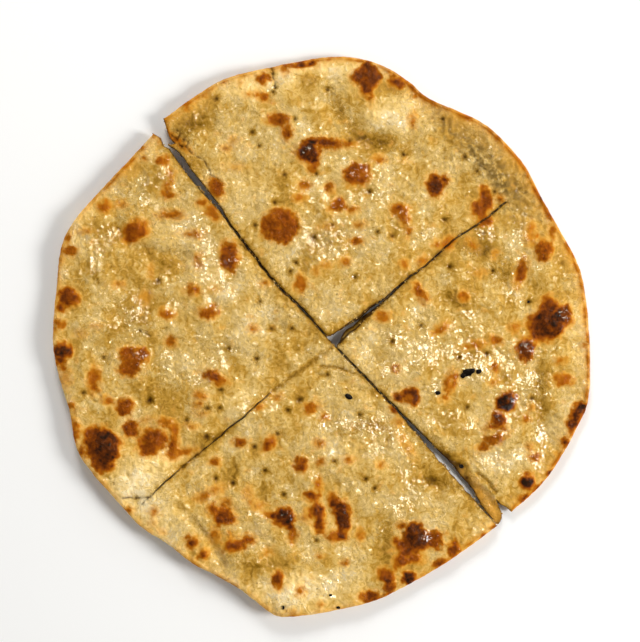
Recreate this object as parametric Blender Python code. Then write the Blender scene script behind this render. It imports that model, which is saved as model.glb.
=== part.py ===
"""Tandoori roti: one round of flat bread, cut crosswise and left lying in its own shape.

The long cut, from the upper left rim to the lower right rim, goes right through, so the bread is two
pieces with a narrow gap between them. The cross cut meets it in the middle. In the upper right half
it is an open slot that stops short of the rim. In the lower left half it is a pressed groove near
the middle and two narrow slits further out. Each half is one closed solid: a rounded rim, sheer cut
walls, a top with blisters, hollows and creases, and an underside that lies flat in the middle and
rises a little towards the rim.

Sizes are in millimetres, seen from above with +Y away from the viewer; MM turns them into metres.
"""

import math

import bpy
import numpy as np
from mathutils.geometry import delaunay_2d_cdt

MM = 0.001

# Dough
THICKNESS = 3.9            # in the middle of the round
RIM_THICKNESS = 2.8        # just inside the rounded edge
RIM_TAPER = 16.0           # how far from the rim the dough starts to thin
RIM_ROUND_TOP = 1.3        # how far the rounded edge reaches in, on top
RIM_ROUND_UNDER = 0.9      # and below
CUT_EASE = 4.0             # along the outline, where a sheer cut wall turns into the rounded rim

# How the round lies
REST_RADIUS = 66.0         # flat on the table inside this
REACH_RADIUS = 117.0       # the rim, where the rise is full
RIM_RISE = 2.2             # average rise of the rim's underside
RIM_RISE_SWING = 1.5       # more on the left, less on the right
HIGH_SIDE = math.radians(200)
RIM_RISE_WAVE = 0.4        # three gentle waves round the rim

# Cuts
GAP = 0.55                 # width of a cut that has closed up again
SLIT_WIDTH = 0.6

# Mesh spacing
RIM_STEP = 3.4
CUT_STEP = 3.6
TOP_STEP = 3.6
UNDER_STEP = 7.5
MIDDLE_EDGE = 0.5          # the widest line of the wall, as a share of its height
SEED = 7

# Rim of the upper right half, clockwise from the torn corner at the upper left
UPPER_RIM = [
    (-65.9, 91.4), (-56.9, 98.0), (-49.4, 103.2), (-39.8, 108.4), (-29.6, 111.2), (-9.1, 115.7),
    (4.5, 117.6), (16.5, 116.9), (28.0, 113.1), (37.8, 106.8), (45.5, 100.5), (60.0, 94.1),
    (69.8, 89.0), (79.6, 80.1), (86.9, 70.7), (93.3, 58.3), (100.9, 44.6), (108.6, 30.1),
    (112.2, 13.1), (113.5, -8.8), (112.6, -27.6), (107.8, -38.7), (100.1, -52.7), (92.4, -63.0),
    (80.5, -73.9),
]
# Rim of the lower left half, clockwise from the corner at the lower right
LOWER_RIM = [
    (74.1, -79.9), (64.3, -87.3), (50.6, -96.7), (37.0, -104.4), (24.2, -110.6), (8.8, -114.6),
    (-4.8, -117.0), (-16.0, -117.6), (-21.5, -115.6), (-33.8, -106.1), (-45.8, -99.4),
    (-53.5, -95.4), (-64.5, -86.9), (-75.6, -79.6), (-85.9, -68.3), (-96.1, -56.8),
    (-102.6, -46.3), (-105.3, -31.8), (-111.0, -12.2), (-112.3, 2.0), (-110.8, 21.6),
    (-108.9, 37.0), (-104.6, 46.8), (-94.4, 59.2), (-81.6, 72.8), (-70.1, 85.2),
]
# The long cut's middle line from the left mouth to the lower right rim, and its width on the way
LONG_CUT = [
    (-43.6, 55.2), (-40.0, 50.2), (-36.7, 45.2), (-30.0, 36.6), (-19.0, 22.6), (-8.1, 11.9),
    (5.5, -3.2), (13.1, -11.3), (25.0, -23.4), (35.4, -34.2), (45.2, -45.0), (54.4, -55.0),
    (62.9, -65.0), (67.0, -70.6), (74.3, -79.5),
]
LONG_CUT_WIDTHS = [
    (0, 1.9), (6, 0.85), (60, 0.8), (80, GAP), (112, 0.8), (120, 1.1), (134, 2.4), (148, 3.1),
    (161, 2.8), (165, 1.7), (168, 0.9), (173, GAP), (185, GAP),
]
# Its open mouth at the upper left: the torn edge with its thin tongue, and the plain edge facing it
TORN_MOUTH = [
    (-65.9, 91.4), (-64.6, 87.2), (-63.6, 84.0), (-62.0, 81.8), (-60.7, 81.0), (-64.0, 80.4),
    (-60.2, 78.0), (-57.4, 75.0), (-54.3, 70.0), (-49.9, 64.7), (-46.2, 60.0),
]
PLAIN_MOUTH = [(-49.3, 60.3), (-53.6, 65.0), (-57.5, 70.0), (-62.0, 76.4), (-63.6, 78.8),
               (-66.1, 80.2), (-67.2, 83.4), (-70.1, 85.2)]
# The lower right end of the upper half: a torn notch beside a narrow slanted strip
STRIP_END = [(74.9, -79.2), (75.8, -78.2), (76.5, -76.2), (76.2, -74.0), (73.8, -68.6),
             (75.6, -70.6), (78.3, -72.0), (80.5, -73.9)]

# The cross cut in the upper right half, from the middle outwards, and its width on the way
SLOT = [
    (5.45, -1.9), (10.1, 1.8), (14.4, 5.2), (20.3, 10.5), (26.3, 15.2), (33.4, 21.4),
    (39.0, 26.1), (45.3, 30.8), (52.3, 37.3), (57.9, 42.0), (62.8, 44.9), (69.8, 49.8),
    (78.4, 57.0),
]
SLOT_WIDTHS = [(0, 5.0), (5, 3.8), (12, 3.6), (18, 3.2), (23, 2.0), (28, 1.1), (34, 0.8), (45, GAP),
               (110, GAP)]
# The cross cut in the lower left half: two slits, and grooves pressed into the top before and
# between them, each a line, its half width and its depth
SLITS = [
    [(-20.4, -23.1), (-31.3, -32.8), (-39.8, -39.7), (-51.0, -49.2)],
    [(-59.0, -55.6), (-65.4, -61.3), (-71.2, -66.8)],
]
GROOVES = [
    ([(4.4, -4.9), (-3.1, -10.5), (-9.9, -15.2), (-19.6, -22.4)], 1.0, 2.2),
    ([(-51.8, -49.9), (-58.2, -54.9)], 0.9, 1.4),
]

# Broad rises and hollows of the top: x, y, length, width, tilt in degrees, height
SWELLS = [
    (27.0, 93.0, 24, 15, 0, 1.1), (32.0, 103.0, 9, 5, 0, -0.6), (69.0, 35.0, 18, 10, -20, -0.8),
    (79.0, 25.0, 12, 10, 0, -0.7), (-66.0, -22.0, 34, 20, 10, -0.6), (-75.0, 55.0, 22, 16, 20, -0.5),
    (48.0, -61.0, 18, 10, -20, -0.7), (28.0, -84.0, 16, 28, 0, -0.6), (-92.0, 15.0, 20, 30, 0, 0.5),
    (10.0, 62.0, 44, 30, 20, 0.6), (58.0, 10.0, 34, 26, 30, 0.6), (-40.0, 20.0, 30, 40, 30, 0.6),
    (10.0, -52.0, 40, 30, 0, 0.6), (-66.0, -76.0, 26, 16, -50, 0.8), (-85.0, -58.0, 22, 14, -40, 0.6),
    (102.0, 10.0, 14, 26, 0, 0.5),
]
# Creases and folds: the line, its half width and its depth
CREASES = [
    ([(5, 98), (13, 88), (26, 81), (37, 83)], 5.0, 1.0),
    ([(44, 96), (60, 86), (73, 74), (84, 56)], 5.5, 1.2),
    ([(-86, 47), (-80.7, 38.2), (-70, 36), (-58, 34)], 3.6, 0.9),
    ([(-60.3, -71.1), (-51.7, -79.6), (-47.5, -84.7), (-40.6, -95.4)], 2.4, 1.1),
    ([(90.7, -13), (92.5, -28), (95.8, -43)], 3.2, 0.8),
    ([(60.8, -50), (71, -50.6)], 3.0, 0.7),
]
# The slanted strip: dough squashed down between this line and the long cut
STRIP_EDGE = [(58.6, -57.4), (63.5, -59.8), (69.5, -62.2), (73.0, -66.0), (74.6, -69.6)]
STRIP_DROP = 1.9
STRIP_SLOPE = 3.2          # how far from that line the drop is full
# The torn corner, where a layer of dough has come away: x, y, radius, depth
TORN_PATCH = (-60.5, 83.5, 4.0, 1.3)

# Blisters: x, y, length, width, tilt in degrees, height
BLISTERS = [
    (-16.8, 46.4, 16, 14, 0, 0.8), (-5.2, 77.9, 11, 9, 0, 0.9), (15.2, 68.1, 12, 9, 20, 0.8),
    (48.5, 63.4, 8, 10, 0, 0.8), (20.7, 108.6, 9, 9, 0, 0.8), (6.8, 55.5, 8, 7, 0, 0.6),
    (35.0, 52.0, 8, 8, 0, 0.6), (-44.9, 62.0, 8, 7, -30, 0.5), (-17.0, 89.5, 9, 9, -40, 0.6),
    (93.3, 35.3, 9, 8, 0, 0.6), (96.0, 5.2, 17, 14, 0, 1.1), (86.0, -5.4, 8, 11, 0, 0.9),
    (78.3, -27.1, 9, 8, 0, 1.1), (74.9, -35.2, 8, 7, 0, 0.8), (54.9, -19.0, 10, 7, 70, 0.6),
    (37.8, -25.4, 8, 8, 0, 0.8), (108.0, -32.0, 7, 10, -20, 0.7), (86.9, -60.8, 8, 8, 0, 1.0),
    (72.8, -42.9, 12, 8, 30, 0.7), (101.8, -18.2, 8, 7, 0, 0.5), (-90.5, -46.0, 15, 15, 0, 1.2),
    (-70.1, -44.6, 10, 11, 0, 0.8), (-78.5, -9.5, 13, 13, 0, 0.8), (-105.0, 16.0, 9, 9, 0, 0.7),
    (-107.6, -6.5, 8, 8, 0, 0.6), (-82.5, -29.5, 8, 8, 30, 0.6), (-77.3, 44.6, 13, 10, 30, 0.7),
    (-38.1, 33.6, 13, 9, 90, 0.8), (-53.9, 19.5, 7, 6, 0, 0.5), (-47.0, 10.3, 9, 7, 0, 0.6),
    (-14.6, -76.2, 9, 9, 0, 0.9), (-1.0, -73.0, 7, 14, 10, 0.7), (8.8, -74.5, 16, 9, -65, 0.9),
    (41.0, -84.0, 15, 10, -15, 1.0), (-42.0, -75.0, 11, 8, -30, 0.6), (-35.1, -87.1, 13, 7, 20, 0.6),
    (-53.9, -86.0, 7, 7, 0, 0.8), (-49.2, -91.1, 6, 6, 0, 0.6), (-8.4, -54.0, 7, 7, 0, 0.7),
    (-33.4, -44.6, 7, 6, 0, 0.5), (-22.3, -45.5, 8, 6, 50, 0.7), (-44.5, -17.3, 10, 7, -25, 0.6),
    (56.2, -89.4, 6, 8, 0, 0.6), (37.0, -101.4, 7, 7, 0, 0.6), (28.0, -103.0, 7, 9, 0, 0.5),
    (-17.6, -101.8, 6, 8, 0, 0.6), (-90.6, 54.5, 8, 7, 0, 0.5), (-63.5, 62.0, 7, 10, 0, 0.5),
]

# Colour of the baked dough, and how its oiled surface reflects
CRUST_COLOUR = (0.56, 0.39, 0.13, 1.0)
CRUST_ROUGHNESS = 0.45


def even_steps(line, step):
    """Points about one step apart along a finely drawn line, with both its ends."""
    line = np.array(line, float)
    run = np.concatenate([[0], np.cumsum(np.hypot(*np.diff(line, axis=0).T))])
    marks = np.linspace(0, run[-1], max(1, round(run[-1] / step)) + 1)
    return np.column_stack([np.interp(marks, run, line[:, 0]), np.interp(marks, run, line[:, 1])])


def smooth_curve(points, step):
    """Points about one step apart on a smooth curve through the given ones."""
    p = np.array(points, float)
    p = np.vstack([2 * p[0] - p[1], p, 2 * p[-1] - p[-2]])
    t = np.linspace(0, 1, 12, endpoint=False)[:, None]
    spans = [0.5 * (2 * b + (c - a) * t + (2 * a - 5 * b + 4 * c - d) * t ** 2
                    + (3 * b - a - 3 * c + d) * t ** 3)
             for a, b, c, d in zip(p[:-3], p[1:-2], p[2:-1], p[3:])]
    return even_steps(np.vstack(spans + [p[-2:-1]]), step)


def cornered_line(points, step):
    """The given points, kept sharp, with more between them where they are far apart."""
    pieces = [even_steps([a, b], step)[:-1] for a, b in zip(points[:-1], points[1:])]
    return np.vstack(pieces + [np.array(points[-1:], float)])


def side_directions(line):
    """Unit vectors to the left of a line's direction, one for each of its points."""
    ahead = np.gradient(line, axis=0)
    ahead /= np.hypot(*ahead.T)[:, None]
    return np.column_stack([-ahead[:, 1], ahead[:, 0]])


def cut_edges(points, widths, step):
    """The left and the right edge of a cut, from its middle line and its width on the way."""
    line = smooth_curve(points, step)
    run = np.concatenate([[0], np.cumsum(np.hypot(*np.diff(line, axis=0).T))])
    half = 0.5 * np.interp(run, *np.array(widths, float).T)[:, None]
    left = side_directions(line)
    return line + left * half, line - left * half


def distance_to_line(x, y, line):
    """Distance of each point to a line through the given points."""
    nearest = np.full(x.shape, np.inf)
    for (ax, ay), (bx, by) in zip(line[:-1], line[1:]):
        dx, dy = bx - ax, by - ay
        along = np.clip(((x - ax) * dx + (y - ay) * dy) / (dx * dx + dy * dy), 0, 1)
        nearest = np.minimum(nearest, np.hypot(x - ax - along * dx, y - ay - along * dy))
    return nearest


def inside(x, y, loop):
    """Whether each point lies inside a closed loop."""
    within = np.zeros(x.shape, bool)
    for (ax, ay), (bx, by) in zip(loop, np.roll(loop, -1, axis=0)):
        crosses = (ay > y) != (by > y)
        if crosses.any():
            within ^= crosses & (x < ax + (y - ay) * (bx - ax) / (by - ay if by != ay else 1))
    return within


def smooth_step(share):
    share = np.clip(share, 0, 1)
    return share * share * (3 - 2 * share)


def ellipse_radius(x, y, cx, cy, length, width, tilt):
    """0 at an ellipse's centre, 1 on its edge."""
    c, s = math.cos(math.radians(tilt)), math.sin(math.radians(tilt))
    across, up = x - cx, y - cy
    return np.hypot((across * c + up * s) * 2 / length, (up * c - across * s) * 2 / width)


def underside(x, y):
    """Height of the underside: 0 in the middle, rising towards the rim, most on the left."""
    angle = np.arctan2(y, x)
    rise = RIM_RISE + RIM_RISE_SWING * np.cos(angle - HIGH_SIDE) + RIM_RISE_WAVE * np.cos(3 * angle)
    out = smooth_step((np.hypot(x, y) - REST_RADIUS) / (REACH_RADIUS - REST_RADIUS))
    return rise * out


def dough_thickness(x, y, rim):
    """Thickness of the dough, from its taper to the rim, its swells, creases and blisters."""
    taper = smooth_step(distance_to_line(x, y, rim) / RIM_TAPER)
    thick = RIM_THICKNESS + (THICKNESS - RIM_THICKNESS) * taper
    for *place, height in SWELLS:
        thick = thick + height * np.exp(-ellipse_radius(x, y, *place) ** 2)
    for line, half_width, depth in CREASES + GROOVES:
        thick = thick - depth * np.exp(-(distance_to_line(x, y, line) / half_width) ** 2)
    for *place, height in BLISTERS:
        thick = thick + height * np.clip(1 - ellipse_radius(x, y, *place) ** 2, 0, None) ** 1.5
    cx, cy, radius, depth = TORN_PATCH
    return thick - depth * np.exp(-(np.hypot(x - cx, y - cy) / radius) ** 2)


def strip_drop(x, y):
    """How far the slanted strip at the lower right lies below the dough beside it."""
    edge = np.array(STRIP_EDGE)
    cut = np.array(LONG_CUT[-4:])
    beyond = inside(x, y, np.vstack([edge, [(80, -84)], cut[::-1]]))
    reach = smooth_step(distance_to_line(x, y, edge) / STRIP_SLOPE)
    return np.where(beyond, STRIP_DROP * reach, 0)


def inset(loop, amounts):
    """A counter-clockwise loop with each point moved inwards by its own amount."""
    ahead = np.roll(loop, -1, axis=0) - loop
    behind = np.roll(ahead, 1, axis=0)
    along = ahead / np.hypot(*ahead.T)[:, None] + behind / np.hypot(*behind.T)[:, None]
    along /= np.hypot(*along.T)[:, None]
    return loop + np.column_stack([-along[:, 1], along[:, 0]]) * amounts[:, None]


def spread_points(loops, step, marked, random):
    """Points for the face between the loops: the marked ones first, then an uneven grid."""
    outer = loops[0]
    low, high = outer.min(axis=0), outer.max(axis=0)
    row = step * math.sqrt(3) / 2
    gx, gy = np.meshgrid(np.arange(low[0], high[0], step), np.arange(low[1], high[1], row))
    gx[1::2] += step / 2
    grid = np.column_stack([gx.ravel(), gy.ravel()])
    grid += random.uniform(-0.18, 0.18, grid.shape) * step
    wanted = [(p, 0.5) for p in marked] + [(p, 0.72) for p in grid]
    places = np.array([p for p, _ in wanted])
    room = np.array([share * step for _, share in wanted])
    within = inside(places[:, 0], places[:, 1], outer)
    for hole in loops[1:]:
        within &= ~inside(places[:, 0], places[:, 1], hole)
    for loop in loops:
        closed = np.vstack([loop, loop[:1]])
        within &= distance_to_line(places[:, 0], places[:, 1], closed) > 0.5 * room
    kept = np.empty((0, 2))
    for place, clear in zip(places[within], room[within]):
        if not len(kept) or np.hypot(*(kept - place).T).min() > clear:
            kept = np.vstack([kept, place])
    return kept


def triangles_between(loops, inner):
    """Triangles over the loops' points and the inner ones, counter-clockwise from above."""
    places = np.vstack(loops + [inner])
    edges, start = [], 0
    for loop in loops:
        count = len(loop)
        edges += [(start + i, start + (i + 1) % count) for i in range(count)]
        start += count
    found = delaunay_2d_cdt([tuple(p) for p in places], edges, [], 0, 1e-7)
    first = [same[0] for same in found[3]]
    faces = np.array([[first[i] for i in face] for face in found[2]])
    middle = places[faces].mean(axis=1)
    solid = inside(middle[:, 0], middle[:, 1], loops[0])
    for hole in loops[1:]:
        solid &= ~inside(middle[:, 0], middle[:, 1], hole)
    faces = faces[solid]
    (ax, ay), (bx, by), (cx, cy) = (places[faces[:, i]].T for i in range(3))
    turned = (bx - ax) * (cy - ay) < (by - ay) * (cx - ax)
    faces[turned] = faces[turned][:, ::-1]
    return faces


def feature_points():
    """Places where the top needs a point: on blisters, along creases, grooves and the strip."""
    marks = []
    for line, _, _ in CREASES:
        marks += list(smooth_curve(line, TOP_STEP * 0.9))
    for line, half_width, _ in GROOVES:
        floor = smooth_curve(line, TOP_STEP * 0.9)
        side = side_directions(floor) * half_width * 2
        marks += list(floor) + list(floor + side) + list(floor - side)
    marks += list(smooth_curve(STRIP_EDGE, TOP_STEP * 0.8))
    for cx, cy, length, width, tilt, _ in BLISTERS:
        marks.append((cx, cy))
        count = max(5, round(math.pi * (length + width) / 2 / TOP_STEP))
        c, s = math.cos(math.radians(tilt)), math.sin(math.radians(tilt))
        for i in range(count):
            u = math.cos(2 * math.pi * i / count) * length / 2
            v = math.sin(2 * math.pi * i / count) * width / 2
            marks.append((cx + u * c - v * s, cy + u * s + v * c))
    return [np.array(mark, float) for mark in marks]


def bread_half(name, stretches, holes, rim, colour):
    """One half of the bread as a closed solid.

    stretches are the outline's parts in counter-clockwise order, each with whether it is rim.
    """
    outline = np.vstack([line[:-1] for line, _ in stretches])
    is_rim = np.concatenate([np.full(len(line) - 1, round_edge) for line, round_edge in stretches])
    cut_points = outline[~is_rim]
    to_cut = np.array([np.hypot(*(cut_points - p).T).min() for p in outline])
    roundness = np.where(is_rim, smooth_step(to_cut / CUT_EASE), 0)
    loops = {
        "under": [inset(outline, roundness * RIM_ROUND_UNDER)] + holes,
        "middle": [outline] + holes,
        "top": [inset(outline, roundness * RIM_ROUND_TOP)] + holes,
    }
    random = np.random.default_rng(SEED)
    inner = {
        "under": spread_points(loops["under"], UNDER_STEP, [], random),
        "top": spread_points(loops["top"], TOP_STEP, feature_points(), random),
    }

    def heights(places, share):
        x, y = places.T
        low = underside(x, y)
        return low + share * (dough_thickness(x, y, rim) - strip_drop(x, y))

    under = np.vstack(loops["under"] + [inner["under"]])
    middle = np.vstack(loops["middle"])
    top = np.vstack(loops["top"] + [inner["top"]])
    corners = np.vstack([
        np.column_stack([under, heights(under, 0)]),
        np.column_stack([middle, heights(middle, MIDDLE_EDGE)]),
        np.column_stack([top, heights(top, 1)]),
    ])
    middle_start, top_start = len(under), len(under) + len(middle)
    faces = [tuple(face[::-1]) for face in triangles_between(loops["under"], inner["under"])]
    faces += [tuple(face + top_start) for face in triangles_between(loops["top"], inner["top"])]
    start = 0
    for loop in loops["middle"]:
        count = len(loop)
        for i in range(count):
            here, ahead = start + i, start + (i + 1) % count
            for low, high in ((0, middle_start), (middle_start, top_start)):
                faces.append((low + here, low + ahead, high + ahead))
                faces.append((low + here, high + ahead, high + here))
        start += count
    mesh = bpy.data.meshes.new(name)
    mesh.from_pydata((corners * MM).tolist(), [], [[int(i) for i in face] for face in faces])
    mesh.validate()
    mesh.update()
    piece = bpy.data.objects.new(name, mesh)
    bpy.context.collection.objects.link(piece)
    crust = bpy.data.materials.new(name + "_crust")
    crust.use_nodes = True
    shader = crust.node_tree.nodes["Principled BSDF"]
    shader.inputs["Base Color"].default_value = colour
    shader.inputs["Roughness"].default_value = CRUST_ROUGHNESS
    shader.inputs["Metallic"].default_value = 0.0
    mesh.materials.append(crust)
    mesh.shade_smooth()
    mesh.set_sharp_from_angle(angle=math.radians(50))
    return piece


def slit_loop(line):
    """A narrow closed hole along a line, pointed at both ends, clockwise as a hole's loop is."""
    middle = smooth_curve(line, CUT_STEP)
    side = side_directions(middle) * SLIT_WIDTH / 2
    left, right = middle + side, middle - side
    return np.vstack([middle[:1], left[1:-1], middle[-1:], right[1:-1][::-1]])


for old in list(bpy.data.objects):
    bpy.data.objects.remove(old, do_unlink=True)

# The long cut runs down to the right, so its left edge belongs to the upper half
upper_edge, lower_edge = cut_edges(LONG_CUT, LONG_CUT_WIDTHS, CUT_STEP)
slot_above, slot_below = cut_edges(SLOT, SLOT_WIDTHS, CUT_STEP)
slot_end = smooth_curve(SLOT, CUT_STEP)[-1:]

# The upper edge is left open between the slot's two sides
slot_start = np.hypot(*(upper_edge - slot_above[0]).T).argmin()
slot_stop = np.hypot(*(upper_edge - slot_below[0]).T).argmin()
upper_rim = smooth_curve(UPPER_RIM, RIM_STEP)
lower_rim = smooth_curve(LOWER_RIM, RIM_STEP)
upper_cut = np.vstack([
    cornered_line(TORN_MOUTH, CUT_STEP), upper_edge[1:slot_start], slot_above[:-1], slot_end,
    slot_below[:-1][::-1], upper_edge[slot_stop + 1:-1], cornered_line(STRIP_END, CUT_STEP),
])
lower_cut = np.vstack([lower_rim[:1], lower_edge[1:-1][::-1], cornered_line(PLAIN_MOUTH, CUT_STEP)])

bread_half("upper_right_half", [(upper_cut, False), (upper_rim[::-1], True)], [], upper_rim,
           CRUST_COLOUR)
bread_half("lower_left_half", [(lower_rim[::-1], True), (lower_cut, False)],
           [slit_loop(line) for line in SLITS], lower_rim, CRUST_COLOUR)
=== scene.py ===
"""Tandoori roti: a flat round of whole wheat bread, charred in spots, buttered and cut crosswise.

Sizes are in millimetres, seen from above with +Y away from the viewer; MM turns them into metres.
"""

import math

import bmesh
import bpy
import numpy as np
from mathutils.geometry import delaunay_2d_cdt
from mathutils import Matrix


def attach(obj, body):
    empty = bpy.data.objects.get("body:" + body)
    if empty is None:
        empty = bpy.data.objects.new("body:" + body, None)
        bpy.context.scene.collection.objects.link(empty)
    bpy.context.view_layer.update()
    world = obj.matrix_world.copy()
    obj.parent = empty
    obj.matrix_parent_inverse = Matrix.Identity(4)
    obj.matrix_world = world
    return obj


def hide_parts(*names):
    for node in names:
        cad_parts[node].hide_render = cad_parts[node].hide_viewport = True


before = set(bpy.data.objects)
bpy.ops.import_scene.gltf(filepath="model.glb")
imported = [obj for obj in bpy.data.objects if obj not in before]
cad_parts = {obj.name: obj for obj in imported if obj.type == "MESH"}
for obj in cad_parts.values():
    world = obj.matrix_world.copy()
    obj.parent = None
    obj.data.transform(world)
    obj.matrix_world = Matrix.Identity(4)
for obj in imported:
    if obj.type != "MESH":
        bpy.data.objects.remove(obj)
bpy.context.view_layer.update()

# ================================================================================================
# Lower left half
# Whole wheat dough, rolled thin and slapped on the wall of a clay oven, where it blistered, dried to
# gold and charred on its high spots. A knife then went right through it along one side of this half,
# and pressed a groove and two slits across it.
# ================================================================================================

MM = 0.001
SEED = 11

# Dough: how thick it is, how its edges are rounded, and how its rim rises off the table, most on the left
THICKNESS = 3.9
RIM_THICKNESS = 2.8
RIM_TAPER = 16.0
LEAST_THICKNESS = 0.8
RIM_ROUND_TOP = 1.3
RIM_ROUND_UNDER = 0.9
RIM_UNEVEN = 0.07
CUT_ROUND = 0.22
CUT_LEAN = 0.1
CUT_UNEVEN = 0.04
CUT_EASE = 4.0
CUT_DROP, CUT_DROP_WIDTH = 0.35, 0.9
REST_RADIUS = 66.0
REACH_RADIUS = 117.0
RIM_RISE = 2.2
RIM_RISE_SWING = 1.5
RIM_RISE_WAVE = 0.4
HIGH_SIDE = math.radians(200)
UNDER_BUMPS = 0.12

# Light browning, from 0 to 1, and how far it reaches: along the rim, most on the side that faced the
# fire, gold further in, dark right on the edge, less on pale dough, in freckles and round the spots
FIRE_SIDE = math.radians(62)
RIM_TOAST, RIM_TOAST_SWING, RIM_TOAST_WIDTH = 0.37, 0.16, 2.2
RIM_GOLD, RIM_GOLD_WIDTH = 0.3, 8.0
EDGE_TOAST_MOST, EDGE_TOAST_WIDTH = 0.55, 0.9
PALE_TOAST_LOSS, PALE_STRENGTH = 0.85, 1.3
FRECKLE_TOAST = 0.22
SPOT_HALO, SPOT_HALO_WIDTH = 0.32, 2.6

# Browned spots: how far they spread past their ellipses, how soft their edges are, how neighbours flow
# together, up to which radius an edge is less ragged, how far a paler middle reaches, and how dark the
# underside's are; PATCH_FALL is how fast patches of tone, butter and ash fade
SPOT_SPREAD = 0.55
SPOT_SOFTNESS = 5.0
SPOT_DARK_FROM = 0.34
SPOT_EDGE_FROM, SPOT_EDGE_WIDTH = 0.2, 0.6
SPOT_UNION = 5
WARPED_RADIUS = 3.2
MIDDLE_REACH = 1.6
UNDER_DARKNESS = 0.8
PATCH_FALL = 1.2

# Tone of the dough: paler at the rim, darker round pinholes; painted shade along scores and beside a cut
RIM_GLOW, RIM_GLOW_WIDTH = 0.15, 2.8
SHADE_BESIDE_CUT_WIDTH = 1.7
HALO_DARKNESS = 0.8
CUT_EDGE_SHADE_WIDTH = 0.26

# Walls: up to which share of its height the wall belongs to the underside, from where up it shows
# pinholes and butter, how much paler it is, and how near a cut it is painted dark as shade
UNDER_SHARE, PIT_SHARE, BUTTER_SHARE = 0.4, 0.1, 0.85
WALL_PALENESS = 0.4
CUT_WALL_SHADE_REACH = 0.8

# Skin: how far browning lifts it, how rough it is under ash, butter and the knife, the crumpled ridges'
# height, size and number, and the fine grain's height on pale dough and what browning adds
BROWN_LIFT, BROWN_LIFT_GAIN = 0.2, 1.2
ASH_ROUGHNESS = 1.6
SOAKED_SMOOTHNESS = 0.4
SQUASHED_SMOOTHNESS = 0.85
LEAST_ROUGH, MOST_ROUGH = 0.15, 2.5
CRUMPLES = [(0.62, 4.4, 22), (0.40, 2.3, 23)]
CRUMPLE_ROUNDING = 0.015
CRUMPLE_MIDDLE = 0.35
GRAIN_HEIGHT, BROWN_GRAIN_HEIGHT = 0.07, 0.03

# Pinholes, cracks and scores: how deep, how dark the painted shade in them is, how much darker the dough
# round them is, each with its width, and whether the mark is broken into dashes
MARKS = {
    "pit": {"depth": 0.6, "depth_width": 0.75, "dark": 0.9, "dark_width": 0.72,
            "halo": 1.0, "halo_width": 1.7, "broken": False},
    "crack": {"depth": 0.4, "depth_width": 0.4, "dark": 1.0, "dark_width": 0.42,
              "halo": 0.0, "halo_width": 1.0, "broken": True},
    "score": {"depth": 0.2, "depth_width": 0.5, "dark": 0.22, "dark_width": 0.4,
              "halo": 0.6, "halo_width": 1.0, "broken": True},
}

# Random hills and what they change: their middle level, then the height or strength, the size across
# and the number of each pattern that is added to it
HILLS = {
    "cut_width": (1, [(0.25, 5.0, 12)]), "cut_line": (0, [(0.3, 2.6, 26)]),
    "slit_width": (0, [(0.45, 2.5, 13)]), "slit_line": (0, [(0.45, 4.0, 14)]),
    "tear": (0, [(0.55, 2.4, 8)]), "rim": (0, [(0.14, 6.0, 30)]), "edge": (0, [(1.0, 1.7, 31)]),
    "wall_crumb": (0, [(0.07, 1.3, 32)]), "underside": (1, [(1.0, 3.0, 40)]),
    "waves": (0, [(0.85, 24.0, 20), (0.85, 9.0, 21)]),
    "roughness": (0.75, [(0.3, 22.0, 19), (0.5, 10.0, 18)]), "fine": (0, [(1.0, 1.3, 24)]),
    "crumple_x": (0, [(2.0, 7.5, 15)]), "crumple_y": (0, [(2.0, 7.5, 16)]),
    "spot_edge": (0, [(0.95, 5.5, 0), (0.4, 2.6, 1)]), "spot_halo": (0.5, [(0.5, 3.0, 10)]),
    "rim_toast": (0, [(0.26, 7.0, 7), (0.22, 2.6, 9)]),
    "edge_toast": (0.1, [(0.55, 8.0, 17), (0.25, 3.0, 25)]),
    "freckles": (-0.3, [(1.0, 5.5, 5), (0.6, 2.4, 6)]),
    "cut_edge_shade": (0.75, [(0.4, 2.0, 11)]), "shade_beside_cut": (0.45, [(0.4, 5.0, 34)]),
    "broken_line": (0.62, [(1.0, 1.8, 33)]),
}
LUMP_CELLS = 128
LUMP_HEIGHT = 1.6

# The knife: the long cut's middle line from upper left to lower right, and its width on the way
GAP = 0.42
SLIT_WIDTH = 0.56
SLIT_FOOT = 0.2
SLIT_NARROWEST, SLIT_WIDEST = 0.12, 1.3
LONG_CUT = [
    (-43.6, 55.2), (-40.0, 50.2), (-36.7, 45.2), (-30.0, 36.6), (-19.0, 22.6), (-8.1, 11.9),
    (5.5, -3.2), (13.1, -11.3), (25.0, -23.4), (35.4, -34.2), (45.2, -45.0), (54.4, -55.0),
    (62.9, -65.0), (67.0, -70.6), (74.3, -79.5),
]
LONG_CUT_WIDTHS = [
    (0, 1.9), (6, 0.85), (60, 0.8), (80, GAP), (112, 0.8), (120, 1.1), (134, 2.4), (148, 3.1),
    (161, 2.8), (165, 1.7), (168, 0.9), (173, GAP), (185, GAP),
]
PLAIN_MOUTH = [(-49.3, 60.3), (-53.6, 65.0), (-57.5, 70.0), (-62.0, 76.4), (-63.6, 78.8),
               (-66.1, 80.2), (-67.2, 83.4), (-70.1, 85.2)]
LOWER_SLITS = [
    [(-20.4, -23.1), (-31.3, -32.8), (-39.8, -39.7), (-51.0, -49.2)],
    [(-59.0, -55.6), (-65.4, -61.3), (-71.2, -66.8)],
]

# Mesh: how far apart its points are, the heights of the wall's rows as shares of its height, the finer
# points at the marks, rings round a pinhole and two lines beside a crack, and how uneven the grid is
# and how far it stays from the outline, in steps
RIM_LINE_STEP = 2.0
RIM_STEP = 0.75
CUT_STEP = 0.75
TOP_STEP = 0.58
UNDER_STEP = 1.4
TEAR_STEP = 0.5
WALL_ROWS = [0.0, 0.08, 0.25, 0.5, 0.75, 0.92, 1.0]
PIT_RINGS = ((0.45, 6), (0.95, 10))
PIT_CLEAR = 1.35
CRACK_SIDE = 0.42
CRACK_CLEAR = 0.7
UNEVEN_GRID = 0.16
EDGE_CLEAR = 0.4

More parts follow.
